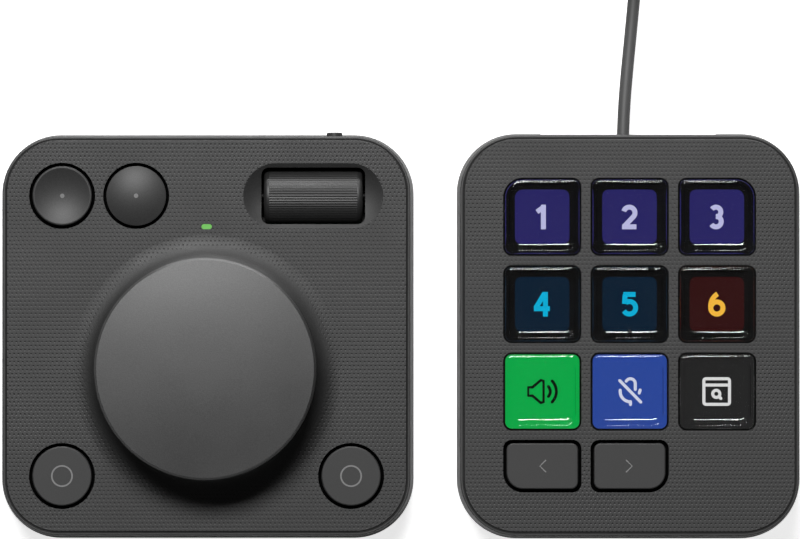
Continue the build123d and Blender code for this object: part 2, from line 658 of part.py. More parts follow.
def battery_door():
    """Door below the cells, with two hinge arms at its rear edge and a finger groove at the front."""
    top = FOOT_PROUD + DOOR_THICKNESS
    x_edge = BAY_WIDTH / 2 - DOOR_GAP
    rear = DOOR_HINGE_Y - DOOR_HINGE_CLEAR
    front = BAY_FRONT + DOOR_GAP
    door = block((-x_edge, x_edge), (front, rear), (FOOT_PROUD, top))
    door = fillet(door.edges().filter_by(Axis.Z).group_by(Axis.Y)[0], DOOR_CORNER)
    grip = (front + DOOR_GRIP_FROM_EDGE, FOOT_PROUD - DOOR_GRIP_RADIUS / 2)
    door -= rod_x(DOOR_GRIP_RADIUS, -DOOR_GRIP_LENGTH / 2, DOOR_GRIP_LENGTH / 2, *grip)
    half_arm = DOOR_ARM_WIDTH / 2
    half_pin = DOOR_PIN_LENGTH / 2
    arm_bottom = DOOR_HINGE_Z - DOOR_PIN_RADIUS + DOOR_ARM_TRIM
    arm_top = DOOR_HINGE_Z + DOOR_PIN_RADIUS - 2 * DOOR_ARM_TRIM
    arm_y = (rear - DOOR_ARM_ROOT, DOOR_HINGE_Y)
    for x in (-DOOR_ARM_X, DOOR_ARM_X):
        door += block((x - half_arm, x + half_arm), arm_y, (arm_bottom, arm_top))
        door += rod_x(DOOR_PIN_RADIUS, x - half_pin, x + half_pin, *DOOR_HINGE)
    return door


def battery_cells():
    """Two AAA cells lying head to tail."""
    cells = []
    start = -(CELL_LENGTH + CELL_NUB) / 2
    can_end = start + CELL_LENGTH
    for side in SIDES:
        y = BAY_Y + side * (CELL_RADIUS + CELL_SPACE / 2)
        cell = rod_x(CELL_RADIUS, start, can_end, 0, 0)
        cell = fillet(cell.edges().filter_by(GeomType.CIRCLE), CELL_END_ROUND)
        cell += rod_x(CELL_NUB_RADIUS, can_end, can_end + CELL_NUB, 0, 0)
        cells.append(Pos(0, y, CELL_Z) * Rot(0, 0, 90 - 90 * side) * cell)
    return cells


def battery_contacts():
    """Flat contact and coil-spring contact at each end of the bay."""
    contacts = []
    face = BAY_WIDTH / 2 - CONTACT_THICKNESS
    cell_end = (CELL_LENGTH + CELL_NUB) / 2
    plate_z = (CELL_Z - CONTACT_DROP, CELL_Z + CONTACT_RISE)
    room = face - cell_end
    coil = Helix(room / SPRING_TURNS, room - SPRING_WIRE, SPRING_RADIUS)
    spring = sweep(Plane(coil @ 0, z_dir=coil % 0) * Circle(SPRING_WIRE / 2), coil)
    for side in SIDES:
        for y_side in SIDES:
            y = BAY_Y + y_side * (CELL_RADIUS + CELL_SPACE / 2)
            plate_x = sorted((side * face, side * (face + CONTACT_THICKNESS)))
            contact = block(plate_x, (y - CONTACT_WIDTH / 2, y + CONTACT_WIDTH / 2), plate_z)
            if side == y_side:
                contact += rod_x(CELL_NUB_RADIUS, *sorted((side * cell_end, side * face)), y, CELL_Z)
            else:
                contact += Pos(side * face, y, CELL_Z) * Rot(0, -90 * side, 0) * spring
            contacts.append(contact)
    return contacts


def dial_unit_board():
    """Circuit board, cut away round the battery bay, the roller and the bosses."""
    inset = WALL + BOARD_EDGE_GAP
    level = (DIAL_BOARD_BOTTOM, DIAL_BOARD_TOP)
    board = slab(DIAL_UNIT_WIDTH - 2 * inset, UNIT_DEPTH - 2 * inset, CORNER - inset, *level)
    x_bay = BAY_WIDTH / 2 + BAY_WALL + BOARD_CLEAR
    board -= block((-x_bay, x_bay), (-HALF_DEPTH, BAY_REAR + BAY_WALL + BOARD_CLEAR), level)
    x_half = roller_end() + AXLE_END
    y_half = ROLLER_RADIUS + 2 * BOARD_CLEAR
    x, y = ROLLER_AT
    board -= block((x - x_half, x + x_half), (y - y_half, y + y_half), level)
    for at in DIAL_BOSSES:
        board -= disc(BOSS_RADIUS + BOARD_CLEAR, *level, at)
    return board


def board_part(at, size, board_top):
    """Package on a board: its centre in the plan, and its width, depth and height."""
    return Pos(*at, board_top) * Box(*size, align=ON_TOP)


def dial_unit_board_parts():
    """Processor, radio module, crystal, power part and lamp on the dial unit's board."""
    packages = {
        "processor": ((-20.5, 7.5), (7.0, 7.0, 0.9)),
        "radio": ((-32.0, 4.5), (12.0, 9.0, 1.6)),
        "crystal": ((-22.5, -1.0), (3.0, 2.0, 0.8)),
        "power": ((22.0, 6.5), (8.0, 5.0, 1.2)),
        "lamp": (LED_AT, (2.0, 1.2, 0.7)),
    }
    return [board_part(at, size, DIAL_BOARD_TOP) for at, size in packages.values()]


def dial_unit_switches():
    """Switches below the four round buttons and the one that the pairing button presses."""
    parts = [switch(at, DIAL_BOARD_TOP) for at in BUTTON_PLACES.values()]
    tip = pairing_flange_front() - PAIRING_STEM - PAIRING_TRAVEL - PRESS_GAP
    face = tip - PAIRING_PLUNGER
    x_span = (PAIRING_X - PAIRING_SWITCH_WIDTH / 2, PAIRING_X + PAIRING_SWITCH_WIDTH / 2)
    body = block(x_span, (face - PAIRING_SWITCH_DEPTH, face), (DIAL_BOARD_TOP, PAIRING_Z + PAIRING_RISE))
    parts.append(body + rod_y(PAIRING_STEM_RADIUS, face, tip, PAIRING_X, PAIRING_Z))
    return parts


def dial_unit_screws():
    """Screws that hold the base to the panel and the bearing housing to the panel."""
    head = FOOT_PROUD + SCREW_FIT
    shank = DIAL_BOARD_BOTTOM + SCREW_BITE - head - SCREW_HEAD_HEIGHT
    screws = [screw(at, head, shank) for at in DIAL_BOSSES]
    tip = DIAL_PANEL_BOTTOM + HOUSING_SCREW_BITE
    for at in housing_screw_places():
        short_head = disc(HOUSING_SCREW_RADIUS, BUSH_BOTTOM - HOUSING_SCREW_HEAD, BUSH_BOTTOM, at)
        screws.append(short_head + disc(SCREW_RADIUS, BUSH_BOTTOM, tip, at))
    return screws


def status_light_pipe():
    """Clear pipe from the lamp on the board to the slot in the panel."""
    shape = SlotOverall(LED_LENGTH - 2 * LED_FIT, LED_WIDTH - 2 * LED_FIT)
    bottom = DIAL_BOARD_TOP + LIGHT_PIPE_GAP
    pipe = Pos(*LED_AT, bottom) * extrude(shape, DIAL_PANEL_TOP - bottom)
    stop = SlotOverall(LED_LENGTH + 2 * LIGHT_PIPE_STOP, LED_WIDTH + 2 * LIGHT_PIPE_STOP)
    return pipe + Pos(*LED_AT, DIAL_PANEL_BOTTOM - LIGHT_PIPE_STOP) * extrude(stop, LIGHT_PIPE_STOP)


def housing_screw_places():
    """Three screws round the bearing housing."""
    x, y = DIAL_AT
    places = []
    for angle in (30, 150, 270):
        turn = math.radians(angle)
        places.append((x + HOUSING_SCREW_CIRCLE * math.cos(turn), y + HOUSING_SCREW_CIRCLE * math.sin(turn)))
    return places


def dial_bearing_housing():
    """Tower that carries the dial's bush, screwed below the panel."""
    flange = disc(HOUSING_FLANGE, BUSH_BOTTOM, DIAL_PANEL_BOTTOM)
    housing = flange + disc(HOUSING_RADIUS, BUSH_BOTTOM, HOUSING_TOP)
    housing -= disc(BUSH_RADIUS, BUSH_BOTTOM, HOUSING_TOP)
    housing = Pos(*DIAL_AT, 0) * housing
    for at in housing_screw_places():
        housing -= disc(SCREW_RADIUS, BUSH_BOTTOM, DIAL_PANEL_BOTTOM, at)
    return housing


def dial_bush():
    """Plain bearing bush with a head that the dial's hub runs on."""
    bush = disc(BUSH_RADIUS, BUSH_BOTTOM, BUSH_TOP)
    bush += disc(BUSH_RADIUS + BUSH_HEAD_REACH, HOUSING_TOP, BUSH_TOP)
    return Pos(*DIAL_AT, 0) * (bush - disc(SPINDLE_RADIUS + SPINDLE_FIT, BUSH_BOTTOM, BUSH_TOP))


def dial_spindle():
    """Steel spindle with a groove for its clip."""
    spindle = disc(SPINDLE_RADIUS, SPINDLE_BOTTOM, DIAL_CEILING)
    groove_top = BUSH_BOTTOM - HUB_GAP
    groove = disc(SPINDLE_RADIUS, groove_top - CLIP_THICKNESS, groove_top)
    groove -= disc(SPINDLE_RADIUS - CLIP_GROOVE, groove_top - CLIP_THICKNESS, groove_top)
    return Pos(*DIAL_AT, 0) * (spindle - groove)


def dial_clip():
    """Open clip in the spindle's groove that stops the dial from lifting out."""
    top = BUSH_BOTTOM - HUB_GAP
    clip = disc(CLIP_RADIUS, top - CLIP_THICKNESS, top)
    clip -= disc(SPINDLE_RADIUS - CLIP_GROOVE, top - CLIP_THICKNESS, top)
    mouth = SPINDLE_RADIUS - CLIP_GROOVE - CLIP_GRIP
    clip -= block((0, CLIP_RADIUS), (-mouth, mouth), (top - CLIP_THICKNESS, top))
    return Pos(*DIAL_AT, 0) * clip


def dial_cap():
    """The knob that the hand turns: a hollow cap with a slightly crowned top and a small chamfer."""
    shoulder = DIAL_TOP - DIAL_BULGE
    face_radius = DIAL_RADIUS - DIAL_EDGE
    bulge_radius = (face_radius**2 + DIAL_BULGE**2) / (2 * DIAL_BULGE)
    bulge = Pos(0, 0, DIAL_TOP - bulge_radius) * Sphere(bulge_radius)
    cap = disc(DIAL_RADIUS, DIAL_BOTTOM, shoulder)
    cap = chamfer(top_edges(cap), DIAL_EDGE)
    cap += bulge & disc(face_radius, shoulder, DIAL_TOP)
    cap -= disc(DIAL_RADIUS - DIAL_WALL, DIAL_BOTTOM, DIAL_CEILING)
    return Pos(*DIAL_AT, 0) * cap


def dial_hub():
    """Ribbed disc inside the cap with the boss that grips the spindle."""
    disc_bottom = DIAL_CEILING - HUB_THICKNESS
    boss_bottom = BUSH_TOP + HUB_GAP
    hub = disc(DIAL_RADIUS - DIAL_WALL, disc_bottom, DIAL_CEILING)
    hub += disc(HUB_BOSS_RADIUS, boss_bottom, disc_bottom)
    rib_root = HUB_BOSS_RADIUS - HUB_RIB_THICKNESS / 2
    rib_tip = DIAL_RADIUS - DIAL_WALL - HUB_RIB_CLEAR
    rib_corners = [(rib_root, disc_bottom), (rib_tip, disc_bottom), (rib_root, boss_bottom + HUB_RIB_RISE)]
    rib_face = make_face(Polyline(*rib_corners, close=True))
    rib = extrude(Plane.XZ * rib_face, HUB_RIB_THICKNESS / 2, both=True)
    for turn in range(HUB_RIBS):
        hub += Rot(0, 0, 360 / HUB_RIBS * turn) * rib
    hub -= disc(SPINDLE_RADIUS, boss_bottom, DIAL_CEILING)
    return Pos(*DIAL_AT, 0) * hub


def dial_encoder_disc():
    """Slotted disc on the spindle's foot that the light gate reads."""
    wheel = disc(ENCODER_RADIUS, ENCODER_BOTTOM, ENCODER_TOP)
    wheel += disc(SPINDLE_RADIUS + ENCODER_BOSS_WALL, SPINDLE_BOTTOM, ENCODER_TOP)
    slot_end = ENCODER_RADIUS - ENCODER_BAND
    slot_x = (slot_end - ENCODER_SLOT_LENGTH, slot_end)
    slot_y = (-ENCODER_SLOT_WIDTH / 2, ENCODER_SLOT_WIDTH / 2)
    slot = block(slot_x, slot_y, (ENCODER_BOTTOM, ENCODER_TOP))
    for step in range(ENCODER_SLOTS):
        wheel -= Rot(0, 0, 360 / ENCODER_SLOTS * step) * slot
    return Pos(*DIAL_AT, 0) * (wheel - disc(SPINDLE_RADIUS, SPINDLE_BOTTOM, ENCODER_TOP))


def dial_sensor():
    """Light gate on the board that straddles the slotted disc."""
    x, y = DIAL_AT
    edge = y + ENCODER_RADIUS
    span = (x - SENSOR_WIDTH / 2, x + SENSOR_WIDTH / 2)
    mouth = (ENCODER_BOTTOM - SENSOR_GAP, ENCODER_TOP + SENSOR_GAP)
    arms = block(span, (edge - SENSOR_REACH, edge + SENSOR_BACK), (DIAL_BOARD_TOP, mouth[1] + SENSOR_ARM))
    return arms - block(span, (edge - SENSOR_REACH, edge + SENSOR_GAP), mouth)


def rib_outline():
    """Ribbed section of the roller: a crest and a groove for each rib."""
    points = []
    for step in range(2 * RIB_COUNT):
        angle = math.pi * step / RIB_COUNT
        radius = ROLLER_RADIUS - RIB_DEPTH * (step % 2)
        points.append((radius * math.cos(angle), radius * math.sin(angle)))
    return make_face(Polyline(*points, close=True))


def roller_barrel():
    """Ribbed barrel with smooth rounded ends."""
    rib_length = ROLLER_LENGTH - 2 * ROLLER_SMOOTH_END
    barrel = Pos(0, 0, -rib_length / 2) * extrude(rib_outline(), rib_length)
    end = disc(ROLLER_RADIUS - RIB_DEPTH / 2, 0, ROLLER_SMOOTH_END)
    end = fillet(end.edges().sort_by(Axis.Z)[-1], ROLLER_END_ROUND)
    for turn in (0, 180):
        barrel += Rot(turn, 0, 0) * Pos(0, 0, rib_length / 2) * end
    barrel -= Pos(0, 0, -ROLLER_LENGTH / 2) * Cylinder(AXLE_RADIUS, ROLLER_LENGTH, align=ON_TOP)
    return Pos(*ROLLER_AT, ROLLER_AXIS_Z) * Rot(0, 90, 0) * barrel


def roller_end():
    """Half the distance between the cradle's outer faces."""
    return ROLLER_LENGTH / 2 + CRADLE_GAP + CRADLE_WALL


def roller_axle():
    """Steel axle through the barrel and both cradle walls."""
    x, y = ROLLER_AT
    reach = roller_end() + AXLE_END
    return rod_x(AXLE_RADIUS, x - reach, x + reach, y, ROLLER_AXIS_Z)


def roller_magnet():
    """Magnet on the axle's end that the roller's sensor reads."""
    x, y = ROLLER_AT
    start = x + roller_end() + AXLE_END
    return rod_x(MAGNET_RADIUS, start, start + MAGNET_LENGTH, y, ROLLER_AXIS_Z)


def roller_cradle():
    """Two bearing walls on a floor, standing on the base."""
    x, y = ROLLER_AT
    outer = roller_end()
    inner = outer - CRADLE_WALL
    span = (y - CRADLE_DEPTH / 2, y + CRADLE_DEPTH / 2)
    cradle = block((x - outer, x + outer), span, (BASE_TOP, CRADLE_TOP))
    cradle -= block((x - inner, x + inner), span, (BASE_TOP + CRADLE_FLOOR, CRADLE_TOP))
    cradle = fillet(cradle.edges().filter_by(Axis.X).group_by(Axis.Z)[-1], CRADLE_ROUND)
    return cradle - rod_x(AXLE_RADIUS + AXLE_FIT, x - outer, x + outer, y, ROLLER_AXIS_Z)


def roller_sensor():
    """Small upright board with the sensor chip that faces the magnet."""
    x, y = ROLLER_AT
    chip_face = x + roller_end() + AXLE_END + MAGNET_LENGTH + MAGNET_GAP
    board_face = chip_face + ROLLER_CHIP_THICKNESS
    half_chip = ROLLER_CHIP / 2
    half_board = ROLLER_BOARD_WIDTH / 2
    chip_z = (ROLLER_AXIS_Z - half_chip, ROLLER_AXIS_Z + half_chip)
    chip = block((chip_face, board_face), (y - half_chip, y + half_chip), chip_z)
    board_x = (board_face, board_face + BOARD_THICKNESS)
    board_z = (DIAL_BOARD_TOP, DIAL_PANEL_BOTTOM - CRADLE_TOP_GAP)
    return chip + block(board_x, (y - half_board, y + half_board), board_z)


def round_button(form):
    """Round cap with a flange that the panel holds back and a stem over its switch."""
    top = DIAL_PANEL_TOP + BUTTON_PROUD
    flange_top = DIAL_PANEL_BOTTOM - FLANGE_DROP
    flange_bottom = flange_top - BUTTON_FLANGE
    switch_top = DIAL_BOARD_TOP + SWITCH_BODY + PLUNGER
    stem_bottom = switch_top + PRESS_GAP + BUTTON_TRAVEL
    reach = BUTTON_RADIUS - BUTTON_CURVE_RIM
    bowl = (reach**2 + BUTTON_CURVE**2) / (2 * BUTTON_CURVE)
    if form == "domed":
        crown = top + BUTTON_CURVE / 2
        head = disc(BUTTON_RADIUS, flange_bottom, crown) & Pos(0, 0, crown - bowl) * Sphere(bowl)
    else:
        head = disc(BUTTON_RADIUS, flange_bottom, top)
        head = fillet(top_edges(head), BUTTON_EDGE)
    if form == "dished":
        head -= Pos(0, 0, top - BUTTON_CURVE + bowl) * Sphere(bowl)
    head += disc(BUTTON_FLANGE_RADIUS, flange_bottom, flange_top)
    return head + disc(BUTTON_STEM_RADIUS, stem_bottom, flange_bottom)


def pairing_flange_front():
    """Front face of the flange that keeps the pairing button behind the rear wall."""
    return HALF_DEPTH - WALL - FLANGE_DROP - PAIRING_FLANGE


def pairing_button():
    """Small round button in the rear wall, pressed forwards."""
    flange_front = pairing_flange_front()
    flange_rear = flange_front + PAIRING_FLANGE
    head = rod_y(PAIRING_RADIUS, flange_front, PAIRING_TIP, PAIRING_X, PAIRING_Z)
    head = fillet(head.edges().filter_by(GeomType.CIRCLE).sort_by(Axis.Y)[-1], PAIRING_ROUND)
    head += rod_y(PAIRING_RADIUS + PAIRING_FLANGE_REACH, flange_front, flange_rear, PAIRING_X, PAIRING_Z)
    return head + rod_y(PAIRING_STEM_RADIUS, flange_front - PAIRING_STEM, flange_front, PAIRING_X, PAIRING_Z)


# ------------------------------------------------------------------ keypad unit
def key_outline(width, depth, corner, big_corner=0.0, big_at=None):
    """Rectangle with rounded corners, one of which can be larger."""
    half_x, half_y = width / 2, depth / 2
    corners = {"front_left": (-1, -1), "front_right": (1, -1), "rear_right": (1, 1), "rear_left": (-1, 1)}
    points = [(sx * half_x, sy * half_y) for sx, sy in corners.values()]
    radii = [big_corner if name == big_at else corner for name in corners]
    return make_face(FilletPolyline(*points, radius=radii, close=True))


def key_places():
    """Node name, centre and larger corner of each display key."""
    places = {}
    for row, y in enumerate(KEY_ROWS):
        for column, x in enumerate(KEY_COLUMNS):
            big = {(0, 0): "rear_left", (0, 2): "rear_right"}.get((row, column))
            places[f"key_row{row + 1}_column{column + 1}"] = ((x, y), big)
    return places


def page_places():
    """Node name, centre and larger corner of each page button."""
    names = ("page_button_left", "page_button_right")
    corners = ("front_left", "front_right")
    return {name: ((x, PAGE_ROW), big) for name, x, big in zip(names, PAGE_COLUMNS, corners)}


def key_hole(at, big, depth, bottom, top, grow=0.0):
    """Upright cutter the shape of a key's or a page button's hole."""
    outline = key_outline(
        KEY_HOLE + 2 * grow, depth + 2 * grow, KEY_HOLE_CORNER + grow, KEY_HOLE_BIG_CORNER + grow, big
    )
    return Pos(*at, bottom) * extrude(outline, top - bottom)


def keypad_frame():
    """Side frame of the keypad with a shallow flat across its rear wall."""
    frame = side_frame(KEYPAD_WIDTH, KEYPAD_WALL_FOOT, KEYPAD_PANEL_TOP)
    half = REAR_RECESS_WIDTH / 2
    cut = (HALF_DEPTH - REAR_RECESS, HALF_DEPTH + REAR_RECESS)
    return frame - block((-half, half), cut, (KEYPAD_WALL_FOOT, KEYPAD_PANEL_TOP))


def keypad_panel():
    """Top panel with the holes of nine keys and two page buttons, and its screw bosses."""
    panel = panel_blank(KEYPAD_WIDTH, KEYPAD_PANEL_TOP)
    for at, big in key_places().values():
        panel -= key_hole(at, big, KEY_HOLE, KEYPAD_PANEL_BOTTOM, KEYPAD_PANEL_TOP)
    for at, big in page_places().values():
        panel -= key_hole(at, big, PAGE_HOLE_DEPTH, KEYPAD_PANEL_BOTTOM, KEYPAD_PANEL_TOP)
    for at in KEYPAD_BOSSES:
        panel += screw_boss(at, KEYPAD_BOSS_TOP, KEYPAD_PANEL_BOTTOM)
    return panel


def keypad_base():
    """Bottom cover: a flange inside the side frame and a hollow pedestal with the plug's pocket."""
    inset = 2 * PEDESTAL_WALL
    base = inner_slab(KEYPAD_WIDTH, KEYPAD_WALL_FOOT, FLANGE_TOP)
    base += slab(PEDESTAL_WIDTH, PEDESTAL_DEPTH, PEDESTAL_CORNER, FOOT_PROUD, KEYPAD_WALL_FOOT)
    inner_corner = PEDESTAL_CORNER - PEDESTAL_WALL
    base -= slab(PEDESTAL_WIDTH - inset, PEDESTAL_DEPTH - inset, inner_corner, BASE_TOP, FLANGE_TOP)
    base = with_plug_pocket(base)
    for at in KEYPAD_BOSSES:
        base += base_boss(at, FLANGE_TOP, KEYPAD_BOSS_TOP)
        base -= base_screw_hole(at, KEYPAD_WALL_FOOT, KEYPAD_BOSS_TOP)
    switch_board_bottom = SWITCH_BOARD_TOP - BOARD_THICKNESS
    main_board_bottom = MAIN_BOARD_TOP - BOARD_THICKNESS
    for side in SIDES:
        for y in TRAY_POST_Y:
            base += disc(POST_RADIUS, FLANGE_TOP, TRAY_BOTTOM, (side * KEYPAD_POST_X, y))
        base += disc(POST_RADIUS, FLANGE_TOP, switch_board_bottom, (side * KEYPAD_POST_X, SWITCH_BOARD_Y))
        post_x = side * (MAIN_BOARD_WIDTH / 2 - MAIN_POST_INSET)
        for y in (MAIN_BOARD_Y[0] + MAIN_POST_INSET, MAIN_BOARD_Y[1] - MAIN_POST_INSET):
            base += disc(POST_RADIUS, BASE_TOP, main_board_bottom, (post_x, y))
    for cutter in foot_recesses(KEYPAD_FEET):
        base -= cutter
    return base


def with_plug_pocket(base):
    """The base with a walled pocket in the pedestal's rear for the plug, open to the socket."""
    half_x = PLUG_BODY_WIDTH / 2 + POCKET_ROOM
    half_z = PLUG_BODY_HEIGHT / 2 + POCKET_ROOM
    rear = PEDESTAL_DEPTH / 2
    front = rear - POCKET_DEPTH
    outer_x = (PLUG_X - half_x - POCKET_WALL, PLUG_X + half_x + POCKET_WALL)
    outer_z = (FOOT_PROUD, PLUG_Z + half_z + POCKET_WALL)
    base += block(outer_x, (front - POCKET_WALL, rear), outer_z)
    inner_x = (PLUG_X - half_x, PLUG_X + half_x)
    inner_z = (PLUG_Z - half_z, PLUG_Z + half_z)
    base -= block(inner_x, (front, rear + POCKET_WALL), inner_z)
    socket_x = PLUG_SHELL_WIDTH / 2 + SOCKET_FIT + SOCKET_WALL
    socket_z = PLUG_SHELL_HEIGHT / 2 + SOCKET_FIT + SOCKET_WALL
    mouth_x = (PLUG_X - socket_x, PLUG_X + socket_x)
    mouth_z = (PLUG_Z - socket_z, PLUG_Z + socket_z)
    return base - block(mouth_x, (front - POCKET_WALL, front), mouth_z)


def keypad_screws():
    """Screws that hold the keypad's base to its panel."""
    head = KEYPAD_WALL_FOOT + SCREW_FIT
    shank = KEYPAD_BOSS_TOP + KEYPAD_SCREW_BITE - head - SCREW_HEAD_HEIGHT
    return [screw(at, head, shank) for at in KEYPAD_BOSSES]


def key_guide():
    """Grid below the panel that guides the flanges of the keys and the page buttons."""
    top = KEYPAD_PANEL_BOTTOM
    bottom = MAT_TOP + GUIDE_GAP
    guide = inner_slab(KEYPAD_WIDTH, bottom, top)
    grow = KEY_FLANGE_REACH + GUIDE_FIT
    for at, big in key_places().values():
        guide -= key_hole(at, big, KEY_HOLE, bottom, top, grow)
    for at, big in page_places().values():
        guide -= key_hole(at, big, PAGE_HOLE_DEPTH, bottom, top, grow)
    for at in KEYPAD_BOSSES:
        guide -= disc(BOSS_RADIUS + SCREW_FIT, bottom, top, at)
    return guide


def display_layer(bottom, top, margin=0.0):
    """Square layer of the display stack, centred on the middle key."""
    half = DISPLAY_SIZE / 2 + margin
    y = KEY_ROWS[1]
    return block((-half, half), (y - half, y + half), (bottom, top))


def key_mat():
    """Clear silicone sheet that springs the keys back, over the contact sheet."""
    return display_layer(MAT_TOP - MAT_THICKNESS, MAT_TOP)


def key_contact_sheet():
    """Clear film with the key contacts, lying on the display."""
    return display_layer(SHEET_BOTTOM, SHEET_BOTTOM + SHEET_THICKNESS)


def display_panel():
    """Display below all nine keys."""
    return display_layer(DISPLAY_BOTTOM, SHEET_BOTTOM)


def display_tray():
    """Tray that carries the display, with a low lip round it."""
    half = DISPLAY_SIZE / 2 + TRAY_MARGIN
    y_span = (KEY_ROWS[1] - half, KEY_ROWS[1] + half)
    tray = block((-TRAY_HALF_WIDTH, TRAY_HALF_WIDTH), y_span, (TRAY_BOTTOM, DISPLAY_BOTTOM))
    lip_level = (DISPLAY_BOTTOM, DISPLAY_BOTTOM + TRAY_LIP)
    return tray + (display_layer(*lip_level, TRAY_MARGIN) - display_layer(*lip_level, TRAY_FIT))


def page_switch_board():
    """Narrow board in front of the display tray for the page buttons' switches."""
    half_x = KEYPAD_POST_X + POST_RADIUS
    half_y = SWITCH_BOARD_DEPTH / 2
    span_y = (SWITCH_BOARD_Y - half_y, SWITCH_BOARD_Y + half_y)
    return block((-half_x, half_x), span_y, (SWITCH_BOARD_TOP - BOARD_THICKNESS, SWITCH_BOARD_TOP))


def page_switches():
    """Switches below the page buttons."""
    return [switch(at, SWITCH_BOARD_TOP) for at, _ in page_places().values()]


def keypad_main_board():
    """Main circuit board in the pedestal."""
    half = MAIN_BOARD_WIDTH / 2
    return block((-half, half), MAIN_BOARD_Y, (MAIN_BOARD_TOP - BOARD_THICKNESS, MAIN_BOARD_TOP))


def keypad_board_parts():
    """Processor, memory, power part and display connector on the main board."""
    packages = {
        "processor": ((-1.0, -3.0), (10.0, 10.0, 1.2)),
        "memory": ((12.0, -4.5), (8.0, 7.0, 1.0)),
        "power": ((13.0, 11.0), (6.0, 6.0, 1.5)),
        "connector": ((-10.0, -24.5), (16.0, 3.0, 1.8)),
    }
    return [board_part(at, size, MAIN_BOARD_TOP) for at, size in packages.values()]


def usb_socket():
    """Metal socket on the main board that the cord's plug goes into."""
    width = PLUG_SHELL_WIDTH + 2 * SOCKET_FIT
    height = PLUG_SHELL_HEIGHT + 2 * SOCKET_FIT
    mouth = PEDESTAL_DEPTH / 2 - POCKET_DEPTH
    outer_shape = RectangleRounded(width + 2 * SOCKET_WALL, height + 2 * SOCKET_WALL, height / 2)
    inner_shape = RectangleRounded(width, height, height / 2 - OVAL_TRIM)
    facing = Pos(PLUG_X, mouth, PLUG_Z) * Rot(90, 0, 0)
    shell = facing * extrude(outer_shape, SOCKET_LENGTH)
    return shell - facing * extrude(inner_shape, SOCKET_LENGTH - SOCKET_WALL)


def key_flange(big, depth):
    """Flange that keeps a key or a page button below the panel."""
    return key_hole((0, 0), big, depth, KEY_BOTTOM, KEY_BOTTOM + KEY_FLANGE, KEY_FLANGE_REACH)


def key_cap(name, big):
    """Clear key: a raised rim round a dished face, with a flange below the panel."""
    top = KEYPAD_PANEL_TOP + KEY_PROUD
    size = KEY_HOLE - 2 * KEY_GAP
    corner, big_corner = KEY_HOLE_CORNER - KEY_GAP, KEY_HOLE_BIG_CORNER - KEY_GAP
    head = Pos(0, 0, KEY_BOTTOM) * extrude(key_outline(size, size, corner, big_corner, big), top - KEY_BOTTOM)
    head = fillet(top_edges(head), KEY_EDGE_ROUND)
    face = size - 2 * KEY_RIM
    mouth = key_outline(face, face, KEY_DISH_CORNER, big_corner - KEY_RIM, big)
    dish = Pos(0, 0, top) * extrude(mouth, -KEY_DISH_SINK, taper=KEY_DISH_SLOPE)
    dish = fillet(dish.faces().sort_by(Axis.Z)[0].edges(), KEY_DISH_BLEND)
    head -= dish
    head = fillet(head.faces().sort_by(Axis.Z)[-1].inner_wires()[0].edges(), KEY_RIM_ROUND)
    head += key_flange(big, KEY_HOLE)
    if name == MIDDLE_KEY:
        head += Pos(0, -NIB_OFFSET, top - KEY_DISH_SINK) * Sphere(NIB_RADIUS)
    return head


def page_button(big):
    """Flat page button with a flange and a stem over its switch."""
    top = KEYPAD_PANEL_TOP + PAGE_PROUD
    width, depth = KEY_HOLE - 2 * PAGE_GAP, PAGE_HOLE_DEPTH - 2 * PAGE_GAP
    corner, big_corner = KEY_HOLE_CORNER - PAGE_GAP / 2, KEY_HOLE_BIG_CORNER - PAGE_GAP
    outline = key_outline(width, depth, corner, big_corner, big)
    head = Pos(0, 0, KEY_BOTTOM) * extrude(outline, top - KEY_BOTTOM)
    head = fillet(top_edges(head), BUTTON_EDGE)
    head += key_flange(big, PAGE_HOLE_DEPTH)
    stem_bottom = SWITCH_BOARD_TOP + SWITCH_BODY + PLUNGER + PRESS_GAP + PAGE_TRAVEL
    return head + disc(PAGE_STEM_RADIUS, stem_bottom, KEY_BOTTOM)


# ------------------------------------------------------------------ cord and plugs
def plug_body():
    """Moulded grip and boot of a plug; the metal shell leaves it towards -Y, the cord towards +Y."""
    shape = RectangleRounded(PLUG_BODY_WIDTH, PLUG_BODY_HEIGHT, PLUG_BODY_CORNER)
    away = Rot(-90, 0, 0)
    grip = away * extrude(shape, PLUG_BODY_LENGTH)
    grip = fillet(grip.faces().sort_by(Axis.Y)[-1].edges(), PLUG_BODY_ROUND)
    boot = away * Cone(PLUG_BOOT_ROOT, PLUG_BOOT_RADIUS, PLUG_BOOT_LENGTH, align=ON_TOP)
    return grip + Pos(0, PLUG_BODY_LENGTH, 0) * boot


def plug_shell():
    """Metal shell of a plug, hollow at its mouth."""
    towards = Rot(90, 0, 0)
    corner = PLUG_SHELL_HEIGHT / 2 - OVAL_TRIM
    wall = PLUG_SHELL_WALL
    outer = RectangleRounded(PLUG_SHELL_WIDTH, PLUG_SHELL_HEIGHT, corner)
    inner = RectangleRounded(PLUG_SHELL_WIDTH - 2 * wall, PLUG_SHELL_HEIGHT - 2 * wall, corner - wall)
    hollow = Pos(0, -PLUG_SHELL_FLOOR, 0) * towards * extrude(inner, PLUG_SHELL_LENGTH)
    return towards * extrude(outer, PLUG_SHELL_LENGTH) - hollow


def tube_radii(points):
    """Largest arc that the two runs at each corner leave room for."""
    radii = []
    for before, corner, after in zip(points, points[1:], points[2:]):
        arriving = Vector(*corner) - Vector(*before)
        leaving = Vector(*after) - Vector(*corner)
        half_turn = math.radians(arriving.get_angle(leaving)) / 2
        radii.append(ARC_SHARE * min(arriving.length, leaving.length) / math.tan(half_turn))
    return radii


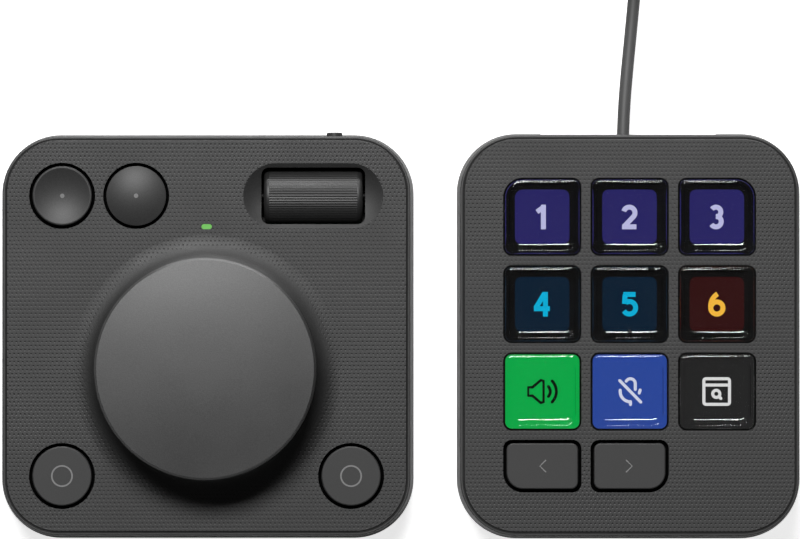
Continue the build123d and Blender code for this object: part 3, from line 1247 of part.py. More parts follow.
def cord_tube(name, points):
    """Round cord along straight runs joined by tangent arcs."""
    radii = tube_radii(points)
    path = FilletPolyline(*points, radius=radii)
    tube = sweep(Plane(path @ 0, z_dir=path % 0) * Circle(CORD_RADIUS), path)
    share = tube.volume / (math.pi * CORD_RADIUS**2 * path.length)
    print(name, "radii", [round(r) for r in radii], f"length {path.length:.1f} volume ratio {share:.4f}")
    return tube


def cord_coil():
    """Outer shape of the loose coil of spare cord."""
    width = COIL_OUTER - COIL_INNER
    section = Pos(COIL_INNER + width / 2, COIL_HEIGHT / 2) * RectangleRounded(width, COIL_HEIGHT, COIL_ROUND)
    return Pos(*COIL_CENTRE, 0) * revolve(Plane.XZ * section, Axis.Z)


# ------------------------------------------------------------------ assembly
def dial_unit_nodes():
    """Nodes of the dial unit, in its own plan position."""
    nodes = {
        "dial_unit_frame": dial_unit_frame(),
        "dial_unit_panel": dial_unit_panel(),
        "dial_unit_base": dial_unit_base(),
        "dial_unit_screws": dial_unit_screws(),
        "dial_unit_feet": feet(DIAL_FEET),
        "dial_unit_circuit_board": dial_unit_board(),
        "dial_unit_board_parts": dial_unit_board_parts() + dial_unit_switches(),
        "status_light_pipe": status_light_pipe(),
        "battery_cells": battery_cells(),
        "battery_contacts": battery_contacts(),
        "battery_door": battery_door(),
        "dial_bearing_housing": dial_bearing_housing(),
        "dial_bush": dial_bush(),
        "dial_sensor": dial_sensor(),
        "dial_cap": dial_cap(),
        "dial_hub": dial_hub(),
        "dial_spindle": dial_spindle(),
        "dial_clip": dial_clip(),
        "dial_encoder_disc": dial_encoder_disc(),
        "roller_barrel": roller_barrel(),
        "roller_axle": roller_axle(),
        "roller_magnet": roller_magnet(),
        "roller_cradle": roller_cradle(),
        "roller_sensor": roller_sensor(),
        "pairing_button": pairing_button(),
    }
    for name, at in BUTTON_PLACES.items():
        nodes[name] = Pos(*at, 0) * round_button(name.rsplit("_", 1)[1])
    return nodes


def keypad_nodes():
    """Nodes of the keypad, in its own plan position."""
    nodes = {
        "keypad_frame": keypad_frame(),
        "keypad_panel": keypad_panel(),
        "keypad_base": keypad_base(),
        "keypad_screws": keypad_screws(),
        "keypad_feet": feet(KEYPAD_FEET),
        "key_guide": key_guide(),
        "key_mat": key_mat(),
        "key_contact_sheet": key_contact_sheet(),
        "display_panel": display_panel(),
        "display_tray": display_tray(),
        "page_switch_board": page_switch_board(),
        "keypad_main_board": keypad_main_board(),
        "keypad_board_parts": keypad_board_parts() + page_switches(),
        "usb_socket": usb_socket(),
    }
    for name, (at, big) in key_places().items():
        nodes[name] = Pos(*at, 0) * key_cap(name, big)
    for name, (at, big) in page_places().items():
        nodes[name] = Pos(*at, 0) * page_button(big)
    seat = Pos(PLUG_X, PLUG_SEAT, PLUG_Z)
    nodes["keypad_plug"] = [seat * plug_body(), seat * plug_shell()]
    return nodes


def cord_nodes():
    """Cord, coil and far plug, in place beside the keypad."""
    end = CORD_TAIL[-1]
    far = Pos(end[0] - PLUG_BODY_LENGTH - PLUG_BOOT_LENGTH, end[1], end[2]) * Rot(0, 0, -90)
    return {
        "cord_run": cord_tube("cord_run", CORD_RUN),
        "cord_coil": cord_coil(),
        "cord_tail": cord_tube("cord_tail", CORD_TAIL),
        "far_plug": far * plug_body(),
        "far_plug_shell": far * plug_shell(),
    }


def export_node(name, shape, place):
    """Write one node; a node of several solids becomes a compound of them."""
    solids = shape if isinstance(shape, list) else [shape]
    placed = [place * solid for item in solids for solid in item.solids()]
    whole = placed[0] if len(placed) == 1 else Compound(children=placed)
    whole.label = name
    export_step(whole, os.path.join("parts", name + ".step"))


os.makedirs("parts", exist_ok=True)
for node, shape in dial_unit_nodes().items():
    export_node(node, shape, Pos(DIAL_UNIT_X, UNIT_Y, 0))
for node, shape in keypad_nodes().items():
    export_node(node, shape, Pos(KEYPAD_X, UNIT_Y, 0))
for node, shape in cord_nodes().items():
    export_node(node, shape, Pos(0, 0, 0))
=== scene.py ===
import math

import bmesh
import bpy
from mathutils import Matrix, Vector

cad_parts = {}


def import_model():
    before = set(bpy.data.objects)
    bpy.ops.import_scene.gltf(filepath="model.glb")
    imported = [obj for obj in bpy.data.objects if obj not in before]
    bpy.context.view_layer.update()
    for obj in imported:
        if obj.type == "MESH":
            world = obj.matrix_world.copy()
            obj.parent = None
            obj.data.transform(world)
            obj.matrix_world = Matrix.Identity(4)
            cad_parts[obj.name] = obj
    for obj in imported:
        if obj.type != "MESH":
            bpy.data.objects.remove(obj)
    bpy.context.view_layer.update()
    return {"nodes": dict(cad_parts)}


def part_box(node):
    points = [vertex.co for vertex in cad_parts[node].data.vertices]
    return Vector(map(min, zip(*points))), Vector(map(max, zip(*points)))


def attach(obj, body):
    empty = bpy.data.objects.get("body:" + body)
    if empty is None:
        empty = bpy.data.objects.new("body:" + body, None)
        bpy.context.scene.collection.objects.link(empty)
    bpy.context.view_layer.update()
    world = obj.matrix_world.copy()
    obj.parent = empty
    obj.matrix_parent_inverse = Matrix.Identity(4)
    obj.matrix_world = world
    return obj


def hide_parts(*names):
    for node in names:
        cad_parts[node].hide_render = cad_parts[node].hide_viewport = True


# Looks of the desk control pair: finishes, key images, clear key caps, printed marks and the cord, in the
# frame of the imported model, which is in metres. Sizes are written in millimetres and scaled by MM.
MM = 0.001

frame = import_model()
NODES = frame["nodes"]

# ------------------------------------------------------------------ places taken from the frame
DIAL_UNIT = "dial_unit"
KEYPAD = "keypad_unit"
FRAME_LIP_DROP = 0.15


def middle(node):
    """Middle of a node's box."""
    low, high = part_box(node)
    return (low + high) / 2


def top_of(node):
    """Height of a node's highest point."""
    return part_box(node)[1].z


DIAL_UNIT_CENTRE = middle("dial_unit_frame")
KEYPAD_CENTRE = middle("keypad_frame")
DIAL_PANEL_TOP = top_of("dial_unit_frame") + FRAME_LIP_DROP * MM
KEYPAD_PANEL_TOP = top_of("keypad_panel")
KEY_TOP = top_of("key_row1_column1")

# ------------------------------------------------------------------ cord route, millimetres
CORD_DIAMETER = 2.8
CORD_RUN = [
    (50.75, 42.65, 5.60),
    (50.92, 48.40, 5.25),
    (51.35, 55.20, 3.85),
    (52.05, 62.60, 2.30),
    (52.85, 70.40, 1.55),
    (53.60, 78.50, 1.42),
    (54.35, 87.00, 1.40),
    (54.78, 95.80, 1.40),
]
CORD_TAIL = [
    (26.00, 119.40, 9.30),
    (17.50, 120.20, 6.70),
    (9.00, 121.60, 3.60),
    (0.50, 122.90, 1.90),
    (-8.50, 123.80, 1.50),
    (-17.50, 124.10, 2.05),
    (-26.00, 124.20, 2.80),
]
COIL_CENTRE = (35.1, 104.5)
COIL_TRACKS = (19.7, 16.9, 14.1, 11.3)
COIL_POINTS_PER_TURN = 16
COIL_SHIFT = 0.25
COIL_LAST_ANGLE = 90
COIL_LEVELS = 4
COIL_SWAY = 0.12
COIL_SWAY_TURN = 47
TIE_ANGLE = 205
TIE_LIFT = 0.75
TIE_SPREAD = 16
TIE_WIDTH = 8.0
TIE_CORNER = 2.6
TIE_THICKNESS = 0.6
TIE_SIDE_GAP = 0.5
TIE_TOP_GAP = 0.55
TIE_FLOOR_GAP = 0.35

# ------------------------------------------------------------------ panel texture, millimetres
DIMPLE_PITCH_X = 0.97
DIMPLE_PITCH_Y = 0.915
DIMPLE_HALF_X = 0.21
DIMPLE_HALF_Y = 0.25
DIMPLE_DEPTH = 0.045
# Painted shade and painted highlight of the dimples: a dark spot on each dimple's rear side and a lighter
# spot on its front side, as a lamp from the rear would light the pits.
DIMPLE_PAINTED_SHADE_BACK = 0.10
DIMPLE_PAINTED_HIGHLIGHT_FRONT = 0.22
DIMPLE_PAINTED_HIGHLIGHT_SHARE = 0.45
PAINTED_SHADE_HALF_X = 0.19
PAINTED_SHADE_HALF_Y = 0.19
PAINTED_HIGHLIGHT_HALF_X = 0.2
PAINTED_HIGHLIGHT_HALF_Y = 0.15
PANEL_DARK = 0.015
PANEL_LIGHT = 0.024
# Colours of the painted shade and the painted highlight on the dimples.
DIMPLE_PAINTED_SHADE = 0.0015
DIMPLE_PAINTED_HIGHLIGHT = 0.052
PANEL_GRAIN_DEPTH = 0.02
COLLAR_GRAIN_GAIN = 2.2


# ------------------------------------------------------------------ material graphs
class Graph:
    """A material's nodes, with short ways to add and join them."""

    def __init__(self, name):
        self.material = bpy.data.materials.new(name)
        self.material.use_nodes = True
        self.tree = self.material.node_tree
        self.surface = self.tree.nodes["Principled BSDF"]

    def add(self, kind, **settings):
        """New node with its settings."""
        node = self.tree.nodes.new("ShaderNode" + kind)
        for name, value in settings.items():
            setattr(node, name, value)
        return node

    def put(self, socket, value):
        """A value or another node's output into a socket."""
        if isinstance(value, bpy.types.NodeSocket):
            self.tree.links.new(value, socket)
        else:
            socket.default_value = value

    def math(self, operation, *values):
        """Output of a math node."""
        node = self.add("Math", operation=operation)
        for socket, value in zip(node.inputs, values):
            self.put(socket, value)
        return node.outputs[0]

    def position(self, centre=(0.0, 0.0, 0.0)):
        """Object coordinates about a centre, in millimetres, as a vector and as X, Y and Z."""
        place = self.add("Mapping")
        place.inputs["Location"].default_value = [-value / MM for value in centre]
        place.inputs["Scale"].default_value = (1 / MM, 1 / MM, 1 / MM)
        self.put(place.inputs["Vector"], self.add("TexCoord").outputs["Object"])
        split = self.add("SeparateXYZ")
        self.put(split.inputs[0], place.outputs[0])
        return place.outputs[0], split.outputs

    def noise(self, vector, per_mm, detail=2.0, roughness=0.5):
        """Noise with so many features to the millimetre, about 0 to 1."""
        node = self.add("TexNoise")
        self.put(node.inputs["Vector"], vector)
        node.inputs["Scale"].default_value = per_mm
        node.inputs["Detail"].default_value = detail
        node.inputs["Roughness"].default_value = roughness
        return node.outputs["Fac"]

    def ramp(self, value, start, end, low=0.0, high=1.0):
        """Value carried smoothly from start..end to low..high, and held past them."""
        node = self.add("MapRange", interpolation_type="SMOOTHSTEP")
        for name, number in (("From Min", start), ("From Max", end), ("To Min", low), ("To Max", high)):
            self.put(node.inputs[name], number)
        self.put(node.inputs["Value"], value)
        return node.outputs["Result"]

    def blend(self, share, first, second):
        """Colour between two colours, through the mix node's colour sockets."""
        node = self.add("Mix", data_type="RGBA")
        self.put(node.inputs["Factor"], share)
        self.put(node.inputs[6], first)
        self.put(node.inputs[7], second)
        return node.outputs[2]

    def bump(self, height, depth, below=None):
        """Normals of a relief so many millimetres deep, on another relief where one is given."""
        node = self.add("Bump")
        node.inputs["Strength"].default_value = 1.0
        node.inputs["Distance"].default_value = depth * MM
        self.put(node.inputs["Height"], height)
        if below is not None:
            self.put(node.inputs["Normal"], below)
        return node.outputs["Normal"]

    def finish(self, **sockets):
        """The material, with the surface's sockets set."""
        for name, value in sockets.items():
            self.put(self.surface.inputs[name.replace("_", " ")], value)
        return self.material


def grey(value):
    """Neutral colour."""
    return (value, value, value, 1.0)


def srgb(code):
    """Linear colour of a six-figure screen colour."""
    parts = [int(code[start:start + 2], 16) / 255 for start in (0, 2, 4)]
    linear = [part / 12.92 if part <= 0.04045 else ((part + 0.055) / 1.055) ** 2.4 for part in parts]
    return (*linear, 1.0)


GLOSS_SPREAD = 0.02


def grained_plastic(name, dark, light, roughness, grain_per_mm=7.0, grain_depth=0.012, shine=0.5):
    """Moulded plastic with a fine grain in its relief, colour and gloss."""
    graph = Graph(name)
    vector, _ = graph.position()
    grain = graph.noise(vector, grain_per_mm)
    cloud = graph.noise(vector, 0.05)
    tone = graph.math("ADD", graph.math("MULTIPLY", grain, 0.9), graph.math("MULTIPLY", cloud, 0.1))
    colour = graph.blend(graph.ramp(tone, 0.35, 0.65), grey(dark), grey(light))
    gloss = graph.ramp(cloud, 0.3, 0.7, roughness - GLOSS_SPREAD, roughness + GLOSS_SPREAD)
    normal = graph.bump(grain, grain_depth)
    return graph.finish(Base_Color=colour, Roughness=gloss, Normal=normal, Specular_IOR_Level=shine)


FLANGE_TOP_BELOW_PANEL = 1.6
# Painted shade below the panel: the flange is coloured near black, with rough gloss and little shine, for
# the shade in the gap round the buttons.
FLANGE_PAINTED_SHADE = 0.002
FLANGE_ROUGHNESS = 0.9
FLANGE_SHINE = 0.02
BUTTON_EDGE_BELOW_PANEL = 1.1
BUTTON_DARK = 0.026
BUTTON_LIGHT = 0.036
BUTTON_ROUGHNESS = 0.46
BUTTON_SHINE = 0.4
BUTTON_GRAIN_PER_MM = 5.0
BUTTON_GRAIN_DEPTH = 0.010


def button_plastic(name, panel_top):
    """Button plastic, with painted shade on the flange below the panel: near black, matt and with little
    shine there.
    """
    graph = Graph(name)
    vector, (_, _, z) = graph.position((0.0, 0.0, panel_top))
    grain = graph.noise(vector, BUTTON_GRAIN_PER_MM)
    face = graph.blend(graph.ramp(grain, 0.35, 0.65), grey(BUTTON_DARK), grey(BUTTON_LIGHT))
    # Painted shade: below the button's edge, colour, gloss and shine go to the flange's near black
    # settings.
    above = graph.ramp(z, -FLANGE_TOP_BELOW_PANEL, -BUTTON_EDGE_BELOW_PANEL)
    return graph.finish(
        Base_Color=graph.blend(above, grey(FLANGE_PAINTED_SHADE), face),
        Roughness=graph.ramp(above, 0.0, 1.0, FLANGE_ROUGHNESS, BUTTON_ROUGHNESS),
        Specular_IOR_Level=graph.ramp(above, 0.0, 1.0, FLANGE_SHINE, BUTTON_SHINE),
        Normal=graph.bump(grain, BUTTON_GRAIN_DEPTH),
    )


def oval(graph, across, along, half_x, half_y):
    """One about an oval's middle, falling softly to zero a little past its two half sizes."""
    across = graph.math("POWER", graph.math("DIVIDE", across, half_x), 2.0)
    along = graph.math("POWER", graph.math("DIVIDE", along, half_y), 2.0)
    return graph.ramp(graph.math("SQRT", graph.math("ADD", across, along)), 1.2, 0.3)


def dimpled_panel(name, centre, top):
    """Panel plastic with rows of small dimples on its flat face and plain grain on its curved forms; each
    dimple has painted shade on its rear side and a painted highlight on its front side.
    """
    graph = Graph(name)
    vector, (x, y, z) = graph.position((centre.x, centre.y, top))
    column = graph.math("DIVIDE", x, DIMPLE_PITCH_X)
    row = graph.math("DIVIDE", y, DIMPLE_PITCH_Y)
    odd = graph.math("FLOORED_MODULO", graph.math("FLOOR", row), 2.0)
    column = graph.math("ADD", column, graph.math("MULTIPLY", odd, 0.5))
    across = graph.math("SUBTRACT", graph.math("FRACT", column), 0.5)
    along = graph.math("SUBTRACT", graph.math("FRACT", row), 0.5)
    across = graph.math("MULTIPLY", across, DIMPLE_PITCH_X)
    along = graph.math("MULTIPLY", along, DIMPLE_PITCH_Y)
    # The dimples fade out where the face rises into the collar and where it sinks into the bowl.
    flat = graph.math("MULTIPLY", graph.ramp(z, 0.5, 0.12), graph.ramp(z, -0.12, -0.03))
    pit = graph.math("MULTIPLY", oval(graph, across, along, DIMPLE_HALF_X, DIMPLE_HALF_Y), flat)
    # Painted shade just behind each dimple's middle, and a painted highlight just in front of it.
    back = graph.math("SUBTRACT", along, DIMPLE_PAINTED_SHADE_BACK)
    shade = graph.math("MULTIPLY", oval(graph, across, back, PAINTED_SHADE_HALF_X, PAINTED_SHADE_HALF_Y), flat)
    front = graph.math("ADD", along, DIMPLE_PAINTED_HIGHLIGHT_FRONT)
    light = graph.math("MULTIPLY", oval(graph, across, front, PAINTED_HIGHLIGHT_HALF_X, PAINTED_HIGHLIGHT_HALF_Y), flat)
    grain = graph.noise(vector, 4.0, detail=3.0, roughness=0.6)
    cloud = graph.noise(vector, 0.06)
    plain = graph.blend(graph.ramp(grain, 0.3, 0.7), grey(PANEL_DARK), grey(PANEL_LIGHT))
    # The painted highlight goes over the plain grain, then the painted shade goes over both.
    plain = graph.blend(graph.math("MULTIPLY", light, DIMPLE_PAINTED_HIGHLIGHT_SHARE), plain, grey(DIMPLE_PAINTED_HIGHLIGHT))
    colour = graph.blend(shade, plain, grey(DIMPLE_PAINTED_SHADE))
    relief = graph.bump(graph.math("SUBTRACT", 1.0, pit), DIMPLE_DEPTH)
    swell = graph.ramp(z, 0.02, 0.4, 1.0, COLLAR_GRAIN_GAIN)
    return graph.finish(
        Base_Color=colour,
        Roughness=graph.ramp(cloud, 0.3, 0.7, 0.46, 0.52),
        Normal=graph.bump(graph.math("MULTIPLY", grain, swell), PANEL_GRAIN_DEPTH, relief),
    )


CLEAR_INDEX = 1.58


def clear_plastic(name, tint):
    """Clear moulded plastic, a trace less clear in faint clouds."""
    graph = Graph(name)
    vector, _ = graph.position()
    cloud = graph.noise(vector, 0.25, detail=1.0)
    return graph.finish(
        Base_Color=graph.blend(cloud, grey(tint - 0.02), grey(tint)),
        Transmission_Weight=1.0,
        IOR=CLEAR_INDEX,
        Roughness=0.02,
    )


def rubber(name, dark, light, shine=0.5):
    """Matt rubber with a dusty bloom."""
    graph = Graph(name)
    vector, _ = graph.position()
    bloom = graph.noise(vector, 0.5, detail=4.0)
    grain = graph.noise(vector, 9.0)
    colour = graph.blend(graph.ramp(bloom, 0.35, 0.7), grey(dark), grey(light))
    normal = graph.bump(grain, 0.02)
    return graph.finish(Base_Color=colour, Roughness=0.85, Normal=normal, Specular_IOR_Level=shine)


def metal(name, colour, roughness):
    """Turned or drawn metal with fine scratches and a little dulling."""
    graph = Graph(name)
    vector, _ = graph.position()
    dulling = graph.noise(vector, 3.0, detail=4.0)
    gloss = graph.ramp(dulling, 0.3, 0.7, roughness - 0.06, roughness + 0.08)
    dull = tuple(value * 0.75 for value in colour[:3]) + (1.0,)
    shade = graph.blend(graph.ramp(dulling, 0.3, 0.75), colour, dull)
    return graph.finish(Base_Color=shade, Metallic=1.0, Roughness=gloss, Normal=graph.bump(dulling, 0.004))


TRACKS_PER_MM = 0.6
MASK_GREEN = (0.004, 0.05, 0.018, 1.0)
TRACK_GREEN = (0.012, 0.11, 0.04, 1.0)


def circuit_board():
    """Board with a solder mask over faint copper tracks."""
    graph = Graph("circuit_board")
    vector, (x, y, _) = graph.position()
    wave = graph.noise(vector, 0.35, detail=0.0)
    slant = graph.math("ADD", graph.math("ADD", x, y), wave)
    track = graph.math("FRACT", graph.math("MULTIPLY", slant, TRACKS_PER_MM))
    line = graph.ramp(graph.math("ABSOLUTE", graph.math("SUBTRACT", track, 0.5)), 0.12, 0.06)
    colour = graph.blend(graph.math("MULTIPLY", line, 0.5), MASK_GREEN, TRACK_GREEN)
    return graph.finish(Base_Color=colour, Roughness=0.35, Normal=graph.bump(line, 0.03))


CELL_BAND = 12.0


def cell_sleeve():
    """Printed sleeve of a battery cell: a dark body with a coppery end."""
    graph = Graph("cell_sleeve")
    vector, (x, _, _) = graph.position(DIAL_UNIT_CENTRE)
    grain = graph.noise(vector, 4.0)
    band = graph.ramp(graph.math("ABSOLUTE", x), CELL_BAND - 0.1, CELL_BAND + 0.1)
    colour = graph.blend(band, (0.02, 0.02, 0.022, 1.0), (0.45, 0.19, 0.06, 1.0))
    return graph.finish(Base_Color=colour, Metallic=0.4, Roughness=graph.ramp(grain, 0.2, 0.8, 0.25, 0.35))


PIXELS_PER_MM = 7.0
PIXEL_GRID_SHARE = 0.12


def from_cell_middle(graph, value):
    """Distance from the middle of a pixel, in pixels."""
    share = graph.math("FRACT", graph.math("MULTIPLY", value, PIXELS_PER_MM))
    return graph.math("ABSOLUTE", graph.math("SUBTRACT", share, 0.5))


def screen_image(name, colour):
    """Lit part of a key's image, with the display's faint pixel grid."""
    graph = Graph(name)
    _, (x, y, _) = graph.position()
    away = graph.math("MAXIMUM", from_cell_middle(graph, x), from_cell_middle(graph, y))
    edge = graph.ramp(away, 0.40, 0.5)
    shade = graph.blend(graph.math("MULTIPLY", edge, PIXEL_GRID_SHARE), colour, grey(0.0))
    return graph.finish(
        Base_Color=grey(0.004),
        Emission_Color=shade,
        Emission_Strength=1.0,
        Roughness=0.6,
        Specular_IOR_Level=0.0,
    )


def print_ink(name, value):
    """Pad-printed ink."""
    graph = Graph(name)
    vector, _ = graph.position()
    grain = graph.noise(vector, 12.0)
    colour = graph.blend(graph.ramp(grain, 0.3, 0.7), grey(value * 0.85), grey(value * 1.1))
    return graph.finish(Base_Color=colour, Roughness=0.6)


LAMP_GLOW = 0.48


def lamp_green():
    """Status lamp's light pipe, lit green."""
    graph = Graph("status_lamp")
    vector, _ = graph.position()
    glow = graph.noise(vector, 1.5)
    colour = graph.blend(glow, srgb("63C04B"), srgb("86DB66"))
    return graph.finish(
        Base_Color=(0.05, 0.2, 0.03, 1.0),
        Emission_Color=colour,
        Emission_Strength=LAMP_GLOW,
        Roughness=0.35,
    )


def cord_jacket():
    """Soft jacket of the cord, with a fine moulded grain."""
    graph = Graph("cord_jacket")
    vector, _ = graph.position()
    grain = graph.noise(vector, 6.0, detail=3.0)
    cloud = graph.noise(vector, 0.08)
    colour = graph.blend(graph.ramp(cloud, 0.3, 0.7), grey(0.064), grey(0.086))
    return graph.finish(Base_Color=colour, Roughness=0.55, Normal=graph.bump(grain, 0.012))


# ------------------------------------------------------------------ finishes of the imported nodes
def set_finish(piece, material):
    """Put one material on a whole piece."""
    piece.data.materials.clear()
    piece.data.materials.append(material)


def finish_nodes():
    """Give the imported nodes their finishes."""
    housing = grained_plastic("housing_plastic", 0.034, 0.042, 0.42, grain_per_mm=8.0, grain_depth=0.006)
    dial = grained_plastic("dial_plastic", 0.024, 0.038, 0.38, grain_per_mm=4.0, shine=0.8)
    button = grained_plastic(
        "button_plastic",
        BUTTON_DARK,
        BUTTON_LIGHT,
        BUTTON_ROUGHNESS,
        grain_per_mm=BUTTON_GRAIN_PER_MM,
        grain_depth=BUTTON_GRAIN_DEPTH,
        shine=BUTTON_SHINE,
    )
    round_button = button_plastic("round_button_plastic", DIAL_PANEL_TOP)
    page_button = button_plastic("page_button_plastic", KEYPAD_PANEL_TOP)
    roller = grained_plastic("roller_plastic", 0.014, 0.022, 0.50, grain_depth=0.006, shine=0.6)
    inner = grained_plastic("inner_plastic", 0.006, 0.009, 0.55, shine=0.1)
    part = grained_plastic("board_part", 0.008, 0.014, 0.45, grain_per_mm=3.0)
    steel = metal("steel", (0.55, 0.55, 0.56, 1.0), 0.28)
    finishes = {
        housing: ("dial_unit_frame", "dial_unit_base", "battery_door", "keypad_frame", "keypad_base"),
        dimpled_panel("dial_unit_panel_plastic", DIAL_UNIT_CENTRE, DIAL_PANEL_TOP): ("dial_unit_panel",),
        dimpled_panel("keypad_panel_plastic", KEYPAD_CENTRE, KEYPAD_PANEL_TOP): ("keypad_panel",),
        dial: ("dial_cap",),
        round_button: (
            "round_button_dished",
            "round_button_domed",
            "round_button_left",
            "round_button_right",
        ),
        page_button: ("page_button_left", "page_button_right"),
        button: ("pairing_button",),
        roller: ("roller_barrel",),
        inner: ("dial_hub", "dial_bearing_housing", "roller_cradle", "key_guide", "display_tray"),
        part: (
            "dial_unit_board_parts",
            "keypad_board_parts",
            "dial_sensor",
            "roller_sensor",
            "dial_encoder_disc",
        ),
        circuit_board(): ("dial_unit_circuit_board", "keypad_main_board", "page_switch_board"),
        steel: ("dial_spindle", "dial_clip", "roller_magnet", "dial_unit_screws", "keypad_screws"),
        metal("blackened_steel", (0.02, 0.02, 0.02, 1.0), 0.5): ("roller_axle",),
        metal("bronze", (0.55, 0.33, 0.14, 1.0), 0.35): ("dial_bush",),
        metal("plated_spring", (0.7, 0.68, 0.62, 1.0), 0.22): ("battery_contacts", "usb_socket"),
        metal("plug_metal", (0.62, 0.61, 0.6, 1.0), 0.25): ("far_plug_shell",),
        rubber("foot_rubber", 0.012, 0.022): ("dial_unit_feet", "keypad_feet"),
        rubber("key_mat_silicone", 0.003, 0.005, shine=0.05): ("key_mat",),
        cell_sleeve(): ("battery_cells",),
        lamp_green(): ("status_light_pipe",),
        clear_plastic("contact_film", 0.9): ("key_contact_sheet",),
        grained_plastic("display_glass", 0.003, 0.005, 0.12, grain_depth=0.0): ("display_panel",),
        grained_plastic("plug_plastic", 0.030, 0.042, 0.5): ("far_plug", "keypad_plug"),
    }
    for material, names in finishes.items():
        for name in names:
            set_finish(NODES[name], material)


# ------------------------------------------------------------------ making pieces
def piece_from(name, mesh, material, body):
    """New object from a bmesh, carried by a body."""
    data = bpy.data.meshes.new(name)
    mesh.to_mesh(data)
    mesh.free()
    piece = bpy.data.objects.new(name, data)
    bpy.context.scene.collection.objects.link(piece)
    data.materials.append(material)
    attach(piece, body)
    return piece


def edge_ring(mesh, points):
    """Closed ring of edges through a list of points."""
    verts = [mesh.verts.new(point) for point in points]
    return [mesh.edges.new((verts[number - 1], vert)) for number, vert in enumerate(verts)]


def rounded_plate(width, depth, corner, thickness):
    """Thin plate with rounded corners, its lower face at zero."""
    mesh = bmesh.new()
    bmesh.ops.create_grid(mesh, x_segments=1, y_segments=1, size=0.5)
    bmesh.ops.scale(mesh, vec=(width, depth, 1), verts=mesh.verts)
    bmesh.ops.bevel(
        mesh,
        geom=mesh.verts[:],
        offset=corner,
        segments=6,
        profile=0.5,
        affect="VERTICES",
        material=-1,
    )
    raise_plate(mesh, thickness)
    return mesh


def raise_plate(mesh, thickness):
    """Thicken a flat outline upwards into a closed plate."""
    bmesh.ops.recalc_face_normals(mesh, faces=mesh.faces)
    if mesh.faces[0].normal.z > 0:
        bmesh.ops.reverse_faces(mesh, faces=mesh.faces)
    lifted = bmesh.ops.extrude_face_region(mesh, geom=mesh.faces[:])["geom"]
    verts = [item for item in lifted if isinstance(item, bmesh.types.BMVert)]
    bmesh.ops.translate(mesh, vec=(0, 0, thickness), verts=verts)
    bmesh.ops.recalc_face_normals(mesh, faces=mesh.faces)


def disc_plate(radius, thickness):
    """Thin round plate."""
    mesh = bmesh.new()
    bmesh.ops.create_circle(mesh, cap_ends=True, radius=radius, segments=32)
    raise_plate(mesh, thickness)
    return mesh


def ring_plate(radius, width, thickness):
    """Thin ring of a middle radius."""
    mesh = bmesh.new()
    inner, outer = radius - width / 2, radius + width / 2
    section = edge_ring(mesh, [(inner, 0, 0), (outer, 0, 0), (outer, 0, thickness), (inner, 0, thickness)])
    bmesh.ops.spin(
        mesh,
        geom=mesh.verts[:] + section,
        cent=(0, 0, 0),
        axis=(0, 0, 1),
        angle=2 * math.pi,
        steps=64,
        use_merge=True,
    )
    bmesh.ops.recalc_face_normals(mesh, faces=mesh.faces)
    return mesh


def stroke_plate(paths, width, thickness, round_ends=True):
    """Marks drawn with a round pen: each path is a list of points, closed where its first point ends it."""
    curve = bpy.data.curves.new("pen", "CURVE")
    curve.dimensions = "3D"
    curve.bevel_depth = width / 2
    curve.bevel_resolution = 3
    curve.use_fill_caps = True
    for path in paths:
        closed = path[0] == path[-1]
        points = path
        if closed:
            points = path[:-1]
        elif round_ends:
            points = pen_ends(path, width)
        spline = curve.splines.new("POLY")
        spline.points.add(len(points) - 1)
        spline.use_cyclic_u = closed
        for point, (x, y, *radius) in zip(spline.points, points):
            point.co = (x, y, 0, 1)
            point.radius = radius[0] if radius else 1.0
    pen = bpy.data.objects.new("pen", curve)
    bpy.context.scene.collection.objects.link(pen)
    bpy.context.view_layer.update()
    data = bpy.data.meshes.new_from_object(pen)
    bpy.data.objects.remove(pen)
    mesh = bmesh.new()
    mesh.from_mesh(data)
    bmesh.ops.remove_doubles(mesh, verts=mesh.verts, dist=width / 200)
    bmesh.ops.scale(mesh, vec=(1, 1, thickness / width), verts=mesh.verts)
    bmesh.ops.translate(mesh, vec=(0, 0, thickness / 2), verts=mesh.verts)
    bmesh.ops.recalc_face_normals(mesh, faces=mesh.faces)
    return mesh


END_ANGLES = (85, 60, 30)


def rounded_end(tip, inner, width):
    """Points from a stroke's outermost end inwards, with the pen's share of its radius at each."""
    out = (Vector(tip) - Vector(inner)).normalized() * width / 2
    points = []
    for angle in END_ANGLES:
        turn = math.radians(angle)
        points.append((tip[0] + out.x * math.sin(turn), tip[1] + out.y * math.sin(turn), math.cos(turn)))
    return points


def pen_ends(path, width):
    """Open path with rounded ends."""
    first = rounded_end(path[0], path[1], width)
    last = rounded_end(path[-1], path[-2], width)
    return first + list(path) + last[::-1]


def arc(centre, radius, start, end, steps=12):
    """Points along an arc, angles in degrees."""
    turns = [math.radians(start + (end - start) * step / steps) for step in range(steps + 1)]
    return [(centre[0] + radius * math.cos(turn), centre[1] + radius * math.sin(turn)) for turn in turns]


def rounded_path(width, depth, corner, centre=(0.0, 0.0), steps=5):
    """Closed path of a rectangle with rounded corners."""
    points = []
    for side_x, side_y, start in ((1, 1, 0), (-1, 1, 90), (-1, -1, 180), (1, -1, 270)):
        at = (centre[0] + side_x * (width / 2 - corner), centre[1] + side_y * (depth / 2 - corner))
        points += arc(at, corner, start, start + 90, steps)
    return points + points[:1]


def place(mesh, x, y, z):
    """Move a mesh drawn in millimetres to its place in metres."""
    bmesh.ops.scale(mesh, vec=(MM, MM, MM), verts=mesh.verts)
    bmesh.ops.translate(mesh, vec=(x, y, z), verts=mesh.verts)
    return mesh


# ------------------------------------------------------------------ seam beads
SEAM = 0.35
SEAM_CLEAR = 0.02
SEAM_SINK = 0.28
BEAD_THICKNESS = 0.3
PANEL_CORNER = 11.95


